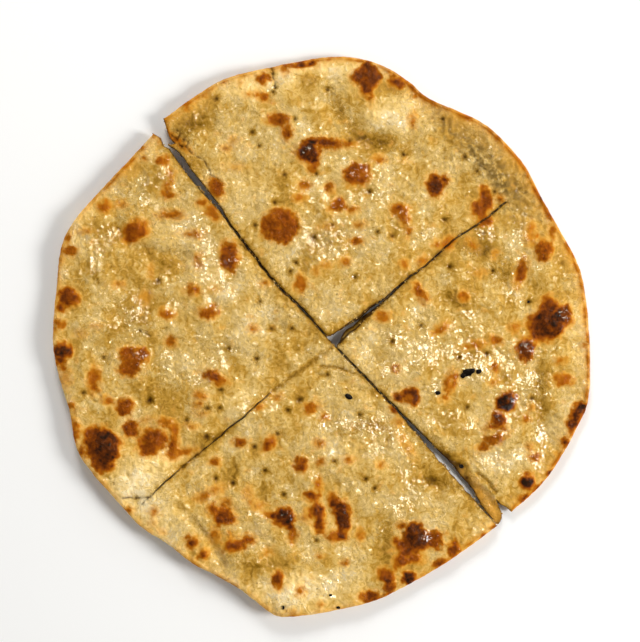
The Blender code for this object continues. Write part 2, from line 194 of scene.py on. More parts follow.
lower_half = {
    "rim": [
        (74.1, -79.9), (64.3, -87.3), (50.6, -96.7), (37, -104.4), (24.2, -110.6), (8.8, -114.6),
        (-4.8, -117), (-16, -117.6), (-21.5, -115.6), (-33.8, -106.1), (-45.8, -99.4), (-53.5, -95.4),
        (-64.5, -86.9), (-75.6, -79.6), (-85.9, -68.3), (-96.1, -56.8), (-102.6, -46.3), (-105.3, -31.8),
        (-111, -12.2), (-112.3, 2), (-110.8, 21.6), (-108.9, 37), (-104.6, 46.8), (-94.4, 59.2),
        (-81.6, 72.8), (-70.1, 85.2),
    ],
    # Broad rises and hollows: x, y, length, width, tilt in degrees where there is one, height
    "swells": [
        (-66, -22, 34, 20, 10, -0.6), (-75, 55, 22, 16, 20, -0.5), (48, -61, 18, 10, -20, -0.7),
        (28, -84, 16, 28, -0.6), (-92, 15, 20, 30, 0.5), (-40, 20, 30, 40, 30, 0.6),
        (10, -52, 40, 30, 0.6), (-66, -76, 26, 16, -50, 0.8), (-85, -58, 22, 14, -40, 0.6),
    ],
    # Creases, folds and the pressed cross cut: the line, its half width and its depth
    "creases": [
        ([(-86, 47), (-80.7, 38.2), (-70, 36), (-58, 34)], 3, 1.2),
        ([(-60.3, -71.1), (-51.7, -79.6), (-47.5, -84.7), (-40.6, -95.4)], 2, 1.4),
        ([(4.4, -4.9), (-3.1, -10.5), (-9.9, -15.2), (-19.6, -22.4)], 1.2, 0.8),
        ([(-51.8, -49.9), (-58.2, -54.9)], 0.8, 1.2),
        ([(-40, -3), (-30, -9), (-22, -10)], 1.2, 0.4),
        ([(0, -12.5), (8, -13.5), (18, -17)], 1, 0.5), ([(-2, -16), (8, -18.5), (16, -22)], 1, 0.45),
    ],
    # Blisters, in the same way
    "blisters": [
        (-90.5, -46, 15, 15, 1.2), (-70.1, -44.6, 10, 11, 0.8), (-78.5, -9.5, 13, 13, 0.8),
        (-105, 16, 9, 9, 0.7), (-107.6, -6.5, 8, 8, 0.6), (-82.5, -29.5, 8, 8, 30, 0.6),
        (-77.3, 44.6, 13, 10, 30, 0.7), (-38.1, 33.6, 13, 9, 90, 0.8), (-53.9, 19.5, 7, 6, 0.5),
        (-47, 10.3, 9, 7, 0.6), (-14.6, -76.2, 9, 9, 0.9), (-1, -73, 7, 14, 10, 0.7),
        (8.8, -74.5, 16, 9, -65, 0.9), (41, -84, 15, 10, -15, 1), (-42, -75, 11, 8, -30, 0.6),
        (-35.1, -87.1, 13, 7, 20, 0.6), (-53.9, -86, 7, 7, 0.8), (-49.2, -91.1, 6, 6, 0.6),
        (-8.4, -54, 7, 7, 0.7), (-33.4, -44.6, 7, 6, 0.5), (-22.3, -45.5, 8, 6, 50, 0.7),
        (-44.5, -17.3, 10, 7, -25, 0.6), (56.2, -89.4, 6, 8, 0.6), (37, -101.4, 7, 7, 0.6),
        (28, -103, 7, 9, 0.5), (-17.6, -101.8, 6, 8, 0.6), (-90.6, 54.5, 8, 7, 0.5),
        (-63.5, 62, 7, 10, 0.5),
    ],
    # Pinholes where steam came out, and cracks in the dried skin
    "pits": [
        (-68, 23.5), (-25.5, 14.8), (-20.6, 3.3), (-12.1, 3.3), (-0.5, 10.1), (-91, -8.8), (-71.8, -26.7),
        (-42.4, -30.1), (-47.5, -30.1), (-56.4, -35.3), (-38.5, -5), (-41.9, -22.5), (-13.8, -31),
        (-8.7, -26.7), (-18, -40.8), (-27.9, -46.3), (-36.8, -61.7), (-15.5, -66.4), (-27, -9.3),
        (-44.1, -59.6), (-1.8, -85.6), (2.9, -16), (-99.5, -23.7), (6.1, -52.3), (19, -59.8),
        (16.5, -32.9), (22.9, -63.8), (-77.3, -67.7), (-48, -42), (-23.5, -56.4),
    ],
    "cracks": [
        [(-71.2, -66.8), (-74.5, -70.3)], [(-71.4, -67.1), (-77.3, -67.7), (-82.5, -67.7)],
        [(-76, 2.4), (-74, 1.2), (-71.8, 0.2)], [(-33.5, 38.5), (-31, 36.8)],
    ],
    # Where the knife or a fold only marked the skin
    "scores": [
        [(4.4, -4.9), (-3.1, -10.5), (-9.9, -15.2), (-19.6, -22.4)], [(-51.8, -49.9), (-58.2, -54.9)],
        [(-37, -51.5), (-35.4, -55.5), (-36.2, -59.5)], [(-93.8, 26), (-93.2, 22)],
        [(-85, 45.5), (-83.2, 41.5), (-80.7, 38.2)], [(0, -12.5), (8, -13.5), (18, -17)],
    ],
    "slits": LOWER_SLITS,
    # Brown and charred spots, with their darkness last; and the paler middles of some
    "pale_middles": [],
    "spots": [
        (-66.2, 73.7, 5, 4, 0.7), (-63.5, 64.5, 8, 3, 70, 0.5), (-63.7, 59.2, 5, 3.5, 0.6),
        (-62.8, 51, 9, 3.5, 0.55), (-90.6, 54.5, 6, 5, 0.6), (-83.7, 55.3, 4, 3, 0.5),
        (-77.3, 44.6, 12, 9, 30, 0.5), (-78.2, 43.4, 5, 4, 0.7), (-98.2, 44.6, 4, 2, 0.45),
        (-106.3, 41.2, 3, 4, 0.6), (-104.6, 35.7, 5, 4, 0.6), (-105.5, 16.9, 8.5, 7.5, 0.8),
        (-108.5, 12.2, 4, 3, 0.85), (-109.3, 5.4, 4, 3, 0.75), (-84.6, 22, 4, 3, 0.45),
        (-71.4, 27.6, 3, 5, 0.35), (-73.5, 16.5, 5, 6, 0.3), (-64.5, 9.7, 5, 4, 0.6),
        (-53.9, 19.5, 5, 3.5, 0.65), (-44.5, 19.5, 3, 2, 0.45), (-47, 10.3, 7.5, 5, 0.65),
        (-28.5, 3.4, 3.5, 2.5, 0.55), (-38.1, 33.6, 12, 7, 90, 0.75), (-51.3, 31.4, 5, 3, 90, 0.5),
        (-51.7, 42.9, 5, 2.5, 0.5), (-56.9, 43.4, 5, 2, 0.3), (-49.2, 56.6, 4, 3, 0.6),
        (-44.9, 52.3, 8, 5, -40, 0.6), (-73.9, 74.9, 2.5, 2, 0.5), (-90.1, 63.4, 2.5, 3, 0.5),
        (-62.8, -2.3, 4.5, 4, 0.6), (-23.6, 22.5, 3, 2.5, 0.5), (-93.5, 4.5, 4, 3, 0.35),
        (-101.2, 1.1, 5, 3, 0.3), (-107.6, -5.8, 7, 6.5, 0.9), (-109.3, -10.5, 3, 4, 0.8),
        (-107.2, -17.3, 6, 8, 0.35), (-95, -17.8, 10, 5, 90, 0.65), (-80.8, -7.5, 8, 6.5, 0.68),
        (-75.8, -8, 6, 7, 0.68), (-80, -13, 9, 7, 0.7), (-89.3, -26.7, 3.5, 3, 0.6),
        (-82.5, -29.5, 7, 7, 30, 0.7), (-104.6, -29.3, 4, 4, 0.5), (-102.9, -35.2, 3, 8, 0.4),
        (-72.6, -35.1, 3, 2, 0.6), (-79.2, -38.9, 7, 6.5, 0.74), (-70, -43.3, 12, 9, 0.74),
        (-72.5, -48.3, 7, 4.5, 0.68), (-65.4, -36.1, 7, 3.5, -15, 0.5), (-61.6, -39.5, 4, 6, 0.6),
        (-61.4, -45, 3.6, 7, 0.65), (-62, -49.8, 6, 3, 0.6), (-57.2, -48.6, 7, 3, 10, 0.6),
        (-54.3, -37.8, 4, 2.5, 0.45), (-91.2, -46.3, 15.5, 13.5, 0.8), (-94, -40.8, 9, 7, 0.76),
        (-91.5, -53.5, 8.5, 8, 0.8), (-88.8, -46.5, 8, 11, 0.9), (-102.9, -41.6, 2, 4, 0.8),
        (-99.9, -47.2, 2, 4, 0.6), (-50.5, -25, 5, 4, 0.5), (-51.7, -28.9, 5, 4, 0.35),
        (-50, -32.3, 4, 2, 0.4), (-44.5, -17.3, 8.5, 4, -25, 0.75), (-18, -25, 3, 2, 0.5),
        (-25.3, -29.3, 4, 3, 40, 0.5), (-4, -29.7, 6, 4, 20, 0.6), (1.6, -33.5, 3, 2.5, 0.55),
        (-33.4, -44.6, 5, 3, 0.7), (-22.3, -45.5, 6, 3.5, 50, 0.8), (-44.5, -52.7, 4, 3.5, 0.65),
        (-8.4, -54, 5, 5.5, 0.75), (-0.5, -45.1, 3.5, 3, 0.6), (-0.1, -52.7, 3, 3, 0.55),
        (-50, -67.5, 5, 4, 0.45), (-45, -64.5, 9, 4, 20, 0.42), (-40, -69.5, 7, 4, -20, 0.45),
        (-41.9, -74.9, 10, 6, -30, 0.7), (-44.1, -82.2, 4, 6, 0.5), (-38.9, -77.1, 5, 3, 0.8),
        (-30.4, -66, 5, 6, 0.35), (-26.1, -71.1, 5, 3, 0.5), (-37.7, -82.6, 3, 3, 0.45),
        (-35.1, -87.1, 11.5, 4.5, 20, 0.8), (-53.9, -86, 5, 5, 0.85), (-49.2, -91.1, 4, 4, 0.8),
        (-22.3, -90.3, 3.5, 2.5, 0.45), (-15.2, -76.1, 8.5, 8, 0.9), (-20.5, -75.5, 5, 3, -15, 0.7),
        (-11.8, -83.6, 3.5, 5, 0.65), (-13, -80, 4, 4, 0.75), (-6.1, -75.4, 4, 5, 0.4),
        (-17.6, -101.8, 4, 6, 0.8), (-8.2, -106.5, 3, 3.5, 0.55), (-69.7, -73.6, 2.5, 3.5, 0.5),
        (-79.9, -72.8, 3, 3, 0.55), (-70.5, -77.9, 2.5, 2, 0.4), (-66.2, -81.8, 2, 1.5, 0.4),
        (-11.2, -115.9, 4, 2, 0.5), (-0.9, -62.2, 2.5, 5, 0.7), (-3.5, -67, 5, 5, 0.8),
        (-1.2, -72.5, 4.5, 6, 0.85), (-0.3, -78.5, 4, 7, 0.8), (5.4, -69, 4, 5, 0.8),
        (8.6, -73, 6.5, 8, 0.88), (10.2, -78, 6, 8, 0.85), (7, -83.6, 8, 4.5, 0.65),
        (16.5, -83.5, 3, 4.5, 0.5), (10.1, -95, 3, 3, 0.5), (-0.2, -92, 2, 1.5, 0.5),
        (35.9, -45.5, 9, 3, -60, 0.45), (32.7, -36.1, 4, 3, 0.4), (11.4, -51.9, 3, 2, 0.6),
        (25.4, -53.9, 3, 2, 0.5), (39.5, -82.2, 9, 8, 0.85), (46.3, -85.6, 9, 7, -20, 0.75),
        (38.7, -87.3, 12, 6, 0.8), (34.4, -79.2, 4, 3, 0.6), (48.9, -83, 5, 3, 0.6),
        (36.3, -90.5, 6, 8, 0.75), (34.4, -93.4, 5, 5, 40, 0.6), (39.5, -93.7, 8, 3, 0.45),
        (32.7, -95.4, 4, 4, 0.5), (56.2, -89.4, 4, 7, 0.85), (68.4, -83.7, 4.5, 2.5, 30, 0.75),
        (49.8, -95.4, 5, 2.5, 30, 0.85), (37, -101.6, 5.5, 6.5, 0.93), (27.6, -100.3, 6.5, 6, 0.72),
        (28.8, -105.5, 4, 6.5, 0.8), (21.2, -109.1, 8, 4, 10, 0.75), (23.3, -110.3, 3, 2, 0.8),
        (31.4, -85.6, 2.5, 2.5, 0.4), (-0.2, -112.5, 2.5, 2, 0.5), (31.4, -30.1, 3, 3, 0.8),
        (-67.5, 83, 2, 3, 0.5),
    ],
    # Paler dough, with a strength above 0; below 0, dough soaked with butter, and painted shade in hollows,
    # creases and troughs
    "tones_and_shade": [
        (-78, 58, 24, 28, -0.2), (-72, 36, 34, 9, -0.12), (-60, 30, 12, 10, -0.3),
        (-95, 25, 14, 14, -0.15), (-66, -22, 34, 18, -20, -0.3), (-30, 8, 22, 20, 0.3),
        (-90, 0, 18, 18, -0.2), (-78, 10, 20, 20, -0.3), (-72, -56, 44, 14, 35, 0.6),
        (-46, 28, 12, 34, 25, 0.25), (20, -37, 24, 8, -0.5), (48, -61, 16, 6, -20, -0.7),
        (28, -84, 10, 26, -0.6), (-22, -95, 36, 9, -0.4), (-8, -106, 44, 16, 0.75),
        (-72, -72, 40, 14, -50, 0.7), (-35, -25, 24, 16, 0.35), (15, -48, 20, 12, 0.3),
        (-100, 50, 20, 8, 45, 0.4), (-55, 75, 10, 14, 45, 0.2), (-42, -84, 16, 8, -60, -0.4),
    ],
    # Where the butter lies thick enough to shine
    "butter": [
        (-47, 31, 10, 28, 8, 1.2), (-42, 17, 12, 12, 0.9), (-79, 11, 9, 12, 1.2), (-76, 4, 8, 12, 20, 1),
        (-67, 20, 12, 9, 0.8), (-62, 12, 8, 8, 0.7), (-93.6, 32, 5, 16, -25, 0.8), (-65, -10, 5, 12, 0.8),
        (-51, -18, 12, 7, 0.7), (-50, 0, 14, 12, 0.4), (20, -49, 8, 7, 0.7), (36, -56, 7, 9, 0.7),
        (41, -64, 8, 7, 0.8), (30, -70, 9, 8, 0.7), (-26, -102, 8, 8, 0.5), (4, -104, 12, 10, 0.6),
        (-5, -60, 10, 8, 0.4), (-74, 61, 5, 11, 0.9), (-65, 66, 8, 12, 0.8), (-53, 50, 9, 8, 0.9),
        (-37, 30, 9, 9, 0.7), (-92, 42, 14, 12, 0.7), (-88, 2, 8, 6, 0.5), (-42, -8, 12, 12, 0.5),
        (20, -40, 30, 10, -10, 0.7), (5, -35, 14, 10, 0.7), (-8, -45, 8, 10, 0.6), (35, -70, 10, 14, 0.6),
        (43, -85, 12, 9, 0.9), (5, -105, 8, 10, 0.5), (-28, -76, 8, 8, 0.6), (-14, -76, 7, 7, 0.9),
        (8, -73, 7, 9, 0.6), (28, -45, 14, 10, 0.7), (-32, -30, 12, 8, 0.4), (-20, -28, 10, 8, 0.4),
        (-76, -8, 12, 10, 0.5), (-88, -44, 6, 6, 0.35),
    ],
    # Where ash from the oven clings
    "ash_and_shade": [(-15, 8, 40, 12, -45, 0.25)],
    # Where a cut's walls stand out at their foot and narrow the cut, with how far last
    "slanted": [(-24, 30, 75, 8, -51, 0.28), (33, -32, 36, 8, -47, 0.2)],
    # Dough squashed down beyond a line: the line, the far corners, the drop and how wide its slope is
    "squashed": [],
}


def new_object(name, data):
    """A new object in the scene, which holds a mesh, a lamp or a camera."""
    piece = bpy.data.objects.new(name, data)
    bpy.context.collection.objects.link(piece)
    return piece


def length_along(line):
    """How far along a line each of its points is."""
    return np.concatenate([[0], np.cumsum(np.hypot(*np.diff(line, axis=0).T))])


def even_steps(line, step):
    """Points about one step apart along a finely drawn line, with both its ends."""
    line = np.array(line, float)
    run = length_along(line)
    stops = np.linspace(0, run[-1], max(1, round(run[-1] / step)) + 1)
    return np.column_stack([np.interp(stops, run, line[:, 0]), np.interp(stops, run, line[:, 1])])


def smooth_curve(points, step):
    """Points about one step apart on a smooth curve through the given ones."""
    p = np.array(points, float)
    p = np.vstack([2 * p[0] - p[1], p, 2 * p[-1] - p[-2]])
    t = np.linspace(0, 1, 24, endpoint=False)[:, None]
    spans = [0.5 * (2 * b + (c - a) * t + (2 * a - 5 * b + 4 * c - d) * t ** 2
                    + (3 * b - a - 3 * c + d) * t ** 3)
             for a, b, c, d in zip(p[:-3], p[1:-2], p[2:-1], p[3:])]
    return even_steps(np.vstack(spans + [p[-2:-1]]), step)


def cornered_line(points, step):
    """The given points, kept sharp, with more between them."""
    pieces = [even_steps([a, b], step)[:-1] for a, b in zip(points[:-1], points[1:])]
    return np.vstack(pieces + [np.array(points[-1:], float)])


def side_directions(line):
    """Unit vectors to the left of a line's direction, one for each of its points."""
    ahead = np.gradient(line, axis=0)
    ahead /= np.hypot(*ahead.T)[:, None]
    return np.column_stack([-ahead[:, 1], ahead[:, 0]])


def smooth_step(share):
    """A share from 0 to 1 with a soft start and a soft end."""
    share = np.clip(share, 0, 1)
    return share * share * (3 - 2 * share)


def fade(distance, width):
    """1 at no distance, falling softly to nothing about two widths away."""
    return np.exp(-(distance / width) ** 2)


def lumps(x, y, size, number):
    """Smooth random hills between about -1 and 1, each about one size across, in a numbered pattern."""
    angles = np.random.default_rng(SEED + number).uniform(0, 2 * math.pi, (LUMP_CELLS, LUMP_CELLS))
    u, v = x / size, y / size
    i, j = np.floor(u).astype(int), np.floor(v).astype(int)
    u, v = u - i, v - j

    def corner(right, up):
        angle = angles[(i + right) % LUMP_CELLS, (j + up) % LUMP_CELLS]
        return np.cos(angle) * (u - right) + np.sin(angle) * (v - up)

    s, t = smooth_step(u), smooth_step(v)
    near = corner(0, 0) * (1 - s) + corner(1, 0) * s
    far = corner(0, 1) * (1 - s) + corner(1, 1) * s
    return LUMP_HEIGHT * (near * (1 - t) + far * t)


def hills(x, y, kind):
    """The random hills of one kind: its middle level with its patterns added."""
    middle, patterns = HILLS[kind]
    return middle + sum(height * lumps(x, y, size, number) for height, size, number in patterns)


def cut_edges(points, widths, step):
    """The left and the right edge of a cut, from its middle line and its width on the way."""
    line = smooth_curve(points, step)
    half = 0.5 * np.interp(length_along(line), *np.array(widths, float).T)[:, None]
    half = half * hills(*line.T, "cut_width")[:, None]
    left = side_directions(line)
    line[3:-3] += left[3:-3] * hills(*line[3:-3].T, "cut_line")[:, None]
    return line + left * half, line - left * half


def slit_loop(line, share):
    """A narrow closed hole along a line, pointed at both ends, widest at the wall's top (share 1)."""
    middle = smooth_curve(line, CUT_STEP)
    wide = np.sin(np.linspace(0, math.pi, len(middle))) ** 0.5 + hills(*middle.T, "slit_width")
    middle = middle + side_directions(middle) * hills(*middle.T, "slit_line")[:, None]
    half_width = SLIT_WIDTH / 2 * (SLIT_FOOT + (1 - SLIT_FOOT) * share)
    wide = np.clip(wide, SLIT_NARROWEST, SLIT_WIDEST)
    side = side_directions(middle) * wide[:, None] * half_width
    left, right = middle + side, middle - side
    return np.vstack([middle[:1], left[1:-1], middle[-1:], right[1:-1][::-1]])


def ragged(line):
    """A line with small random bends in it, as a tear in dry skin has."""
    middle = even_steps(line, TEAR_STEP)
    return middle + side_directions(middle) * hills(*middle.T, "tear")[:, None]


def inset(loop, amounts):
    """A counter-clockwise loop with each point moved inwards by its own amount."""
    ahead = np.roll(loop, -1, axis=0) - loop
    behind = np.roll(ahead, 1, axis=0)
    along = ahead / np.hypot(*ahead.T)[:, None] + behind / np.hypot(*behind.T)[:, None]
    along /= np.hypot(*along.T)[:, None]
    return loop + np.column_stack([-along[:, 1], along[:, 0]]) * amounts[:, None]


def distance_to_line(x, y, line):
    """Distance of each point to a line through the given points."""
    nearest = np.full(x.shape, np.inf)
    for (ax, ay), (bx, by) in zip(line[:-1], line[1:]):
        dx, dy = bx - ax, by - ay
        along = np.clip(((x - ax) * dx + (y - ay) * dy) / (dx * dx + dy * dy), 0, 1)
        nearest = np.minimum(nearest, np.hypot(x - ax - along * dx, y - ay - along * dy))
    return nearest


def distance_to_cuts(x, y, half):
    """Distance of each point to the nearest cut or slit."""
    nearest = distance_to_line(x, y, half["cut_line"])
    for line in half["slits"]:
        nearest = np.minimum(nearest, distance_to_line(x, y, line))
    return nearest


def inside(x, y, loop):
    """Whether each point lies inside a closed loop."""
    within = np.zeros(x.shape, bool)
    for (ax, ay), (bx, by) in zip(loop, np.roll(loop, -1, axis=0)):
        crosses = (ay > y) != (by > y)
        if crosses.any():
            within ^= crosses & (x < ax + (y - ay) * (bx - ax) / (by - ay if by != ay else 1))
    return within


def ellipse_radius(x, y, cx, cy, length, width, tilt=0):
    """0 at an ellipse's centre, 1 on its edge."""
    c, s = math.cos(math.radians(tilt)), math.sin(math.radians(tilt))
    across, up = x - cx, y - cy
    return np.hypot((across * c + up * s) * 2 / length, (up * c - across * s) * 2 / width)


def ellipses_field(x, y, places):
    """Soft patches added up: each is strongest at its ellipse's centre and fades past its edge."""
    total = np.zeros(x.shape)
    for *place, strength in places:
        total += strength * np.exp(-ellipse_radius(x, y, *place) ** 2 * PATCH_FALL)
    return total


def marks(x, y, half):
    """Each pinhole, crack and score in turn: the distance of each point to it, and its sizes."""
    for cx, cy in half["pits"]:
        yield np.hypot(x - cx, y - cy), MARKS["pit"]
    for kind, lines in (("crack", half["ragged_cracks"]), ("score", half["ragged_scores"])):
        for line in lines:
            yield distance_to_line(x, y, line), MARKS[kind]


def underside(x, y):
    """Height of the underside: 0 in the middle, rising towards the rim, most on the left."""
    angle = np.arctan2(y, x)
    rise = RIM_RISE + RIM_RISE_SWING * np.cos(angle - HIGH_SIDE) + RIM_RISE_WAVE * np.cos(3 * angle)
    out = smooth_step((np.hypot(x, y) - REST_RADIUS) / (REACH_RADIUS - REST_RADIUS))
    return rise * out


def spot_fields(x, y, half):
    """Where the browned spots are, 0.5 on their outlines, and how dark each is, from 0 to 1, black."""
    warp = hills(x, y, "spot_edge")
    mask, level = np.zeros(x.shape), np.zeros(x.shape)
    for *place, dark in half["spots"]:
        radius = min(place[2], place[3]) / 2
        beyond = (ellipse_radius(x, y, *place) - 1) * radius + warp * min(1, radius / WARPED_RADIUS)
        cover = np.clip(0.5 - (beyond - SPOT_SPREAD) / SPOT_SOFTNESS, 0, 1)
        mask += cover ** SPOT_UNION
        level = np.maximum(level, dark * smooth_step(cover / SPOT_DARK_FROM))
    mask = np.clip(mask, 0, 1) ** (1 / SPOT_UNION)
    for *place, share in half["pale_middles"]:
        level = level * (1 - share * smooth_step(MIDDLE_REACH - ellipse_radius(x, y, *place)))
    return mask, level


def toasting(x, y, half):
    """Light browning: golden to brown along the rim, round the spots, and in faint freckles all over."""
    to_rim = distance_to_line(x, y, half["rim_line"])
    strong = RIM_TOAST + RIM_TOAST_SWING * np.cos(np.arctan2(y, x) - FIRE_SIDE)
    toast = (strong + hills(x, y, "rim_toast")) * fade(to_rim, RIM_TOAST_WIDTH)
    toast += RIM_GOLD * strong * fade(to_rim, RIM_GOLD_WIDTH)
    toast += np.clip(hills(x, y, "edge_toast"), 0, EDGE_TOAST_MOST) * fade(to_rim, EDGE_TOAST_WIDTH)
    pale = np.clip(PALE_STRENGTH * ellipses_field(x, y, half["tones_and_shade"]), 0, 1)
    toast = toast * (1 - PALE_TOAST_LOSS * pale)
    toast = np.maximum(toast, FRECKLE_TOAST * smooth_step(hills(x, y, "freckles")))
    patchy = SPOT_HALO * hills(x, y, "spot_halo")
    for *place, dark in half["spots"]:
        beyond = (ellipse_radius(x, y, *place) - 1) * min(place[2], place[3]) / 2
        near = fade(np.clip(beyond, 0, None), SPOT_HALO_WIDTH)
        toast = np.maximum(toast, dark * patchy * near)
    return toast


def browning(spot, level, toast):
    """How brown the crust is: its spots over its light toasting."""
    return np.maximum(level * smooth_step((spot - SPOT_EDGE_FROM) / SPOT_EDGE_WIDTH), toast)


def skin_relief(x, y, half, brown):
    """The crust's own bumps: soft waves, crumpled skin of two sizes, and a fine roughness."""
    soaked_and_shaded = np.clip(-ellipses_field(x, y, half["tones_and_shade"]), 0, 1)
    dusty = np.clip(ellipses_field(x, y, half["ash_and_shade"]), 0, 1)
    rough = hills(x, y, "roughness") + ASH_ROUGHNESS * dusty - SOAKED_SMOOTHNESS * soaked_and_shaded
    rough = np.clip(rough, LEAST_ROUGH, MOST_ROUGH)
    for edge, corners, *_ in half["squashed"]:
        rough = rough * (1 - SQUASHED_SMOOTHNESS * inside(x, y, np.array(edge + corners)))
    u, v = x + hills(x, y, "crumple_x"), y + hills(x, y, "crumple_y")
    ridges = sum(height * np.sqrt(lumps(u, v, size, number) ** 2 + CRUMPLE_ROUNDING)
                 for height, size, number in CRUMPLES)
    fine = (GRAIN_HEIGHT + BROWN_GRAIN_HEIGHT * brown) * hills(x, y, "fine")
    return hills(x, y, "waves") + rough * (CRUMPLE_MIDDLE - ridges + fine)


def top_height(x, y, half, brown):
    """Height of the top above the underside: the dough's thickness with all that shows on it."""
    taper = smooth_step(distance_to_line(x, y, half["rim_line"]) / RIM_TAPER)
    thick = RIM_THICKNESS + (THICKNESS - RIM_THICKNESS) * taper
    for *place, height in half["swells"]:
        thick = thick + height * fade(ellipse_radius(x, y, *place), 1)
    for line, half_width, depth in half["creases"]:
        thick = thick - depth * fade(distance_to_line(x, y, line), half_width)
    for *place, height in half["blisters"]:
        thick = thick + height * np.clip(1 - ellipse_radius(x, y, *place) ** 2, 0, None) ** 1.5
    thick = thick + BROWN_LIFT * (smooth_step(BROWN_LIFT_GAIN * brown) - 0.5)
    thick = thick + skin_relief(x, y, half, brown)
    thick = thick - CUT_DROP * np.exp(-distance_to_line(x, y, half["cut_line"]) / CUT_DROP_WIDTH)
    for edge, corners, drop, slope in half["squashed"]:
        reach = smooth_step(distance_to_line(x, y, edge) / slope)
        thick = thick - drop * reach * inside(x, y, np.array(edge + corners))
    for distance, mark in marks(x, y, half):
        thick = thick - mark["depth"] * fade(distance, mark["depth_width"])
    return np.maximum(thick, LEAST_THICKNESS)


def crust_height(x, y, half):
    """Height of the crust's top over the table."""
    brown = browning(*spot_fields(x, y, half), toasting(x, y, half))
    return underside(x, y) + top_height(x, y, half, brown)


def pit_and_cut_shade(x, y, half):
    """Painted shade: 1 in a pinhole or a crack, or right beside a cut, fading to 0 next to it."""
    beside_cut = fade(distance_to_cuts(x, y, half), CUT_EDGE_SHADE_WIDTH)
    dark = np.clip(hills(x, y, "cut_edge_shade") * beside_cut, 0, 1)
    broken = np.clip(hills(x, y, "broken_line"), 0, 1)
    for distance, mark in marks(x, y, half):
        strength = mark["dark"] * (broken if mark["broken"] else 1)
        dark = np.maximum(dark, strength * fade(distance, mark["dark_width"]))
    return dark


def pit_halos(x, y, half):
    """1 at a pinhole, fading out over the darker dough round it, and less beside a score, as painted shade.
    """
    halos = np.zeros(x.shape)
    for distance, mark in marks(x, y, half):
        halos = np.maximum(halos, mark["halo"] * fade(distance, mark["halo_width"]))
    return halos


def face_points(loops, step, half, marked):
    """Points for the face between the loops: an uneven grid, with rings round the marked pinholes."""
    outer = loops[0]
    low, high = outer.min(axis=0), outer.max(axis=0)
    row = step * math.sqrt(3) / 2
    gx, gy = np.meshgrid(np.arange(low[0], high[0], step), np.arange(low[1], high[1], row))
    gx[1::2] += step / 2
    points = np.column_stack([gx.ravel(), gy.ravel()])
    points += np.random.default_rng(SEED).uniform(-UNEVEN_GRID, UNEVEN_GRID, points.shape) * step
    extra = []
    if marked:
        for cx, cy in half["pits"]:
            points = points[np.hypot(points[:, 0] - cx, points[:, 1] - cy) > PIT_CLEAR]
            extra.append([(cx, cy)])
            for radius, count in PIT_RINGS:
                turn = np.arange(count) * 2 * math.pi / count
                extra.append(np.column_stack([cx + radius * np.cos(turn), cy + radius * np.sin(turn)]))
        for middle in half["ragged_cracks"] + half["ragged_scores"]:
            points = points[distance_to_line(points[:, 0], points[:, 1], middle) > CRACK_CLEAR]
            side = side_directions(middle) * CRACK_SIDE
            extra += [middle, middle + side, middle - side]
        points = np.vstack([points] + extra)
    within = inside(points[:, 0], points[:, 1], outer)
    for hole in loops[1:]:
        within &= ~inside(points[:, 0], points[:, 1], hole)
    points = points[within]
    for loop in loops:
        closed = np.vstack([loop, loop[:1]])
        points = points[distance_to_line(points[:, 0], points[:, 1], closed) > EDGE_CLEAR * step]
    return points


def triangles_between(loops, inner):
    """Triangles over the loops' points and the inner ones, counter-clockwise from above."""
    places = np.vstack(loops + [inner])
    edges, start = [], 0
    for loop in loops:
        count = len(loop)
        edges += [(start + i, start + (i + 1) % count) for i in range(count)]
        start += count
    found = delaunay_2d_cdt([tuple(p) for p in places], edges, [], 0, 1e-7)
    first = np.array([same[0] for same in found[3]])
    faces = first[np.array(found[2])]
    middle = places[faces].mean(axis=1)
    solid = inside(middle[:, 0], middle[:, 1], loops[0])
    for hole in loops[1:]:
        solid &= ~inside(middle[:, 0], middle[:, 1], hole)
    faces = faces[solid]
    (ax, ay), (bx, by), (cx, cy) = (places[faces[:, i]].T for i in range(3))
    turned = (bx - ax) * (cy - ay) < (by - ay) * (cx - ax)
    faces[turned] = faces[turned][:, ::-1]
    return faces


def wall_rows(outline, is_rim, half):
    """The outline at each height of the wall, from its foot up: round at the rim, leaning at a cut."""
    cut_points = outline[~is_rim]
    to_cut = np.array([np.hypot(*(cut_points - p).T).min() for p in outline])
    roundness = np.where(is_rim, smooth_step(to_cut / CUT_EASE), 0)
    x, y = outline.T
    uneven = hills(x, y, "rim") * roundness
    uneven += (CUT_UNEVEN + RIM_UNEVEN * roundness) * hills(x, y, "edge")
    lean = CUT_LEAN + ellipses_field(x, y, half["slanted"])
    rows = []
    for share in WALL_ROWS:
        bulge = 1 - math.sqrt(max(0, 1 - (2 * share - 1) ** 2))
        rim_in = bulge * (RIM_ROUND_TOP if share > 0.5 else RIM_ROUND_UNDER)
        cut_in = CUT_ROUND * max(0, 2 * share - 1) ** 5 - lean * (1 - share)
        crumb = hills(x + 40 * share, y + 25 * share, "wall_crumb") * 4 * share * (1 - share)
        rows.append(inset(outline, roundness * rim_in + (1 - roundness) * (cut_in + crumb) + uneven))
    return rows


def shell_faces(under_loops, under_inner, top_loops, top_inner):
    """Faces of a closed shell: its underside, its top, and the strips of wall between its rows."""
    row_length = sum(len(loop) for loop in under_loops)
    first_row = len(under_inner)
    last_row = first_row + row_length * (len(WALL_ROWS) - 1)
    under_index = np.concatenate([first_row + np.arange(row_length), np.arange(first_row)])
    top_index = last_row + np.arange(row_length + len(top_inner))
    faces = [tuple(under_index[face[::-1]]) for face in triangles_between(under_loops, under_inner)]
    faces += [tuple(top_index[face]) for face in triangles_between(top_loops, top_inner)]
    for start in range(first_row, last_row, row_length):
        for loop in under_loops:
            count = len(loop)
            for i in range(count):
                a, b = start + i, start + (i + 1) % count
                faces.append((a, b, b + row_length, a + row_length))
            start += count
    return faces


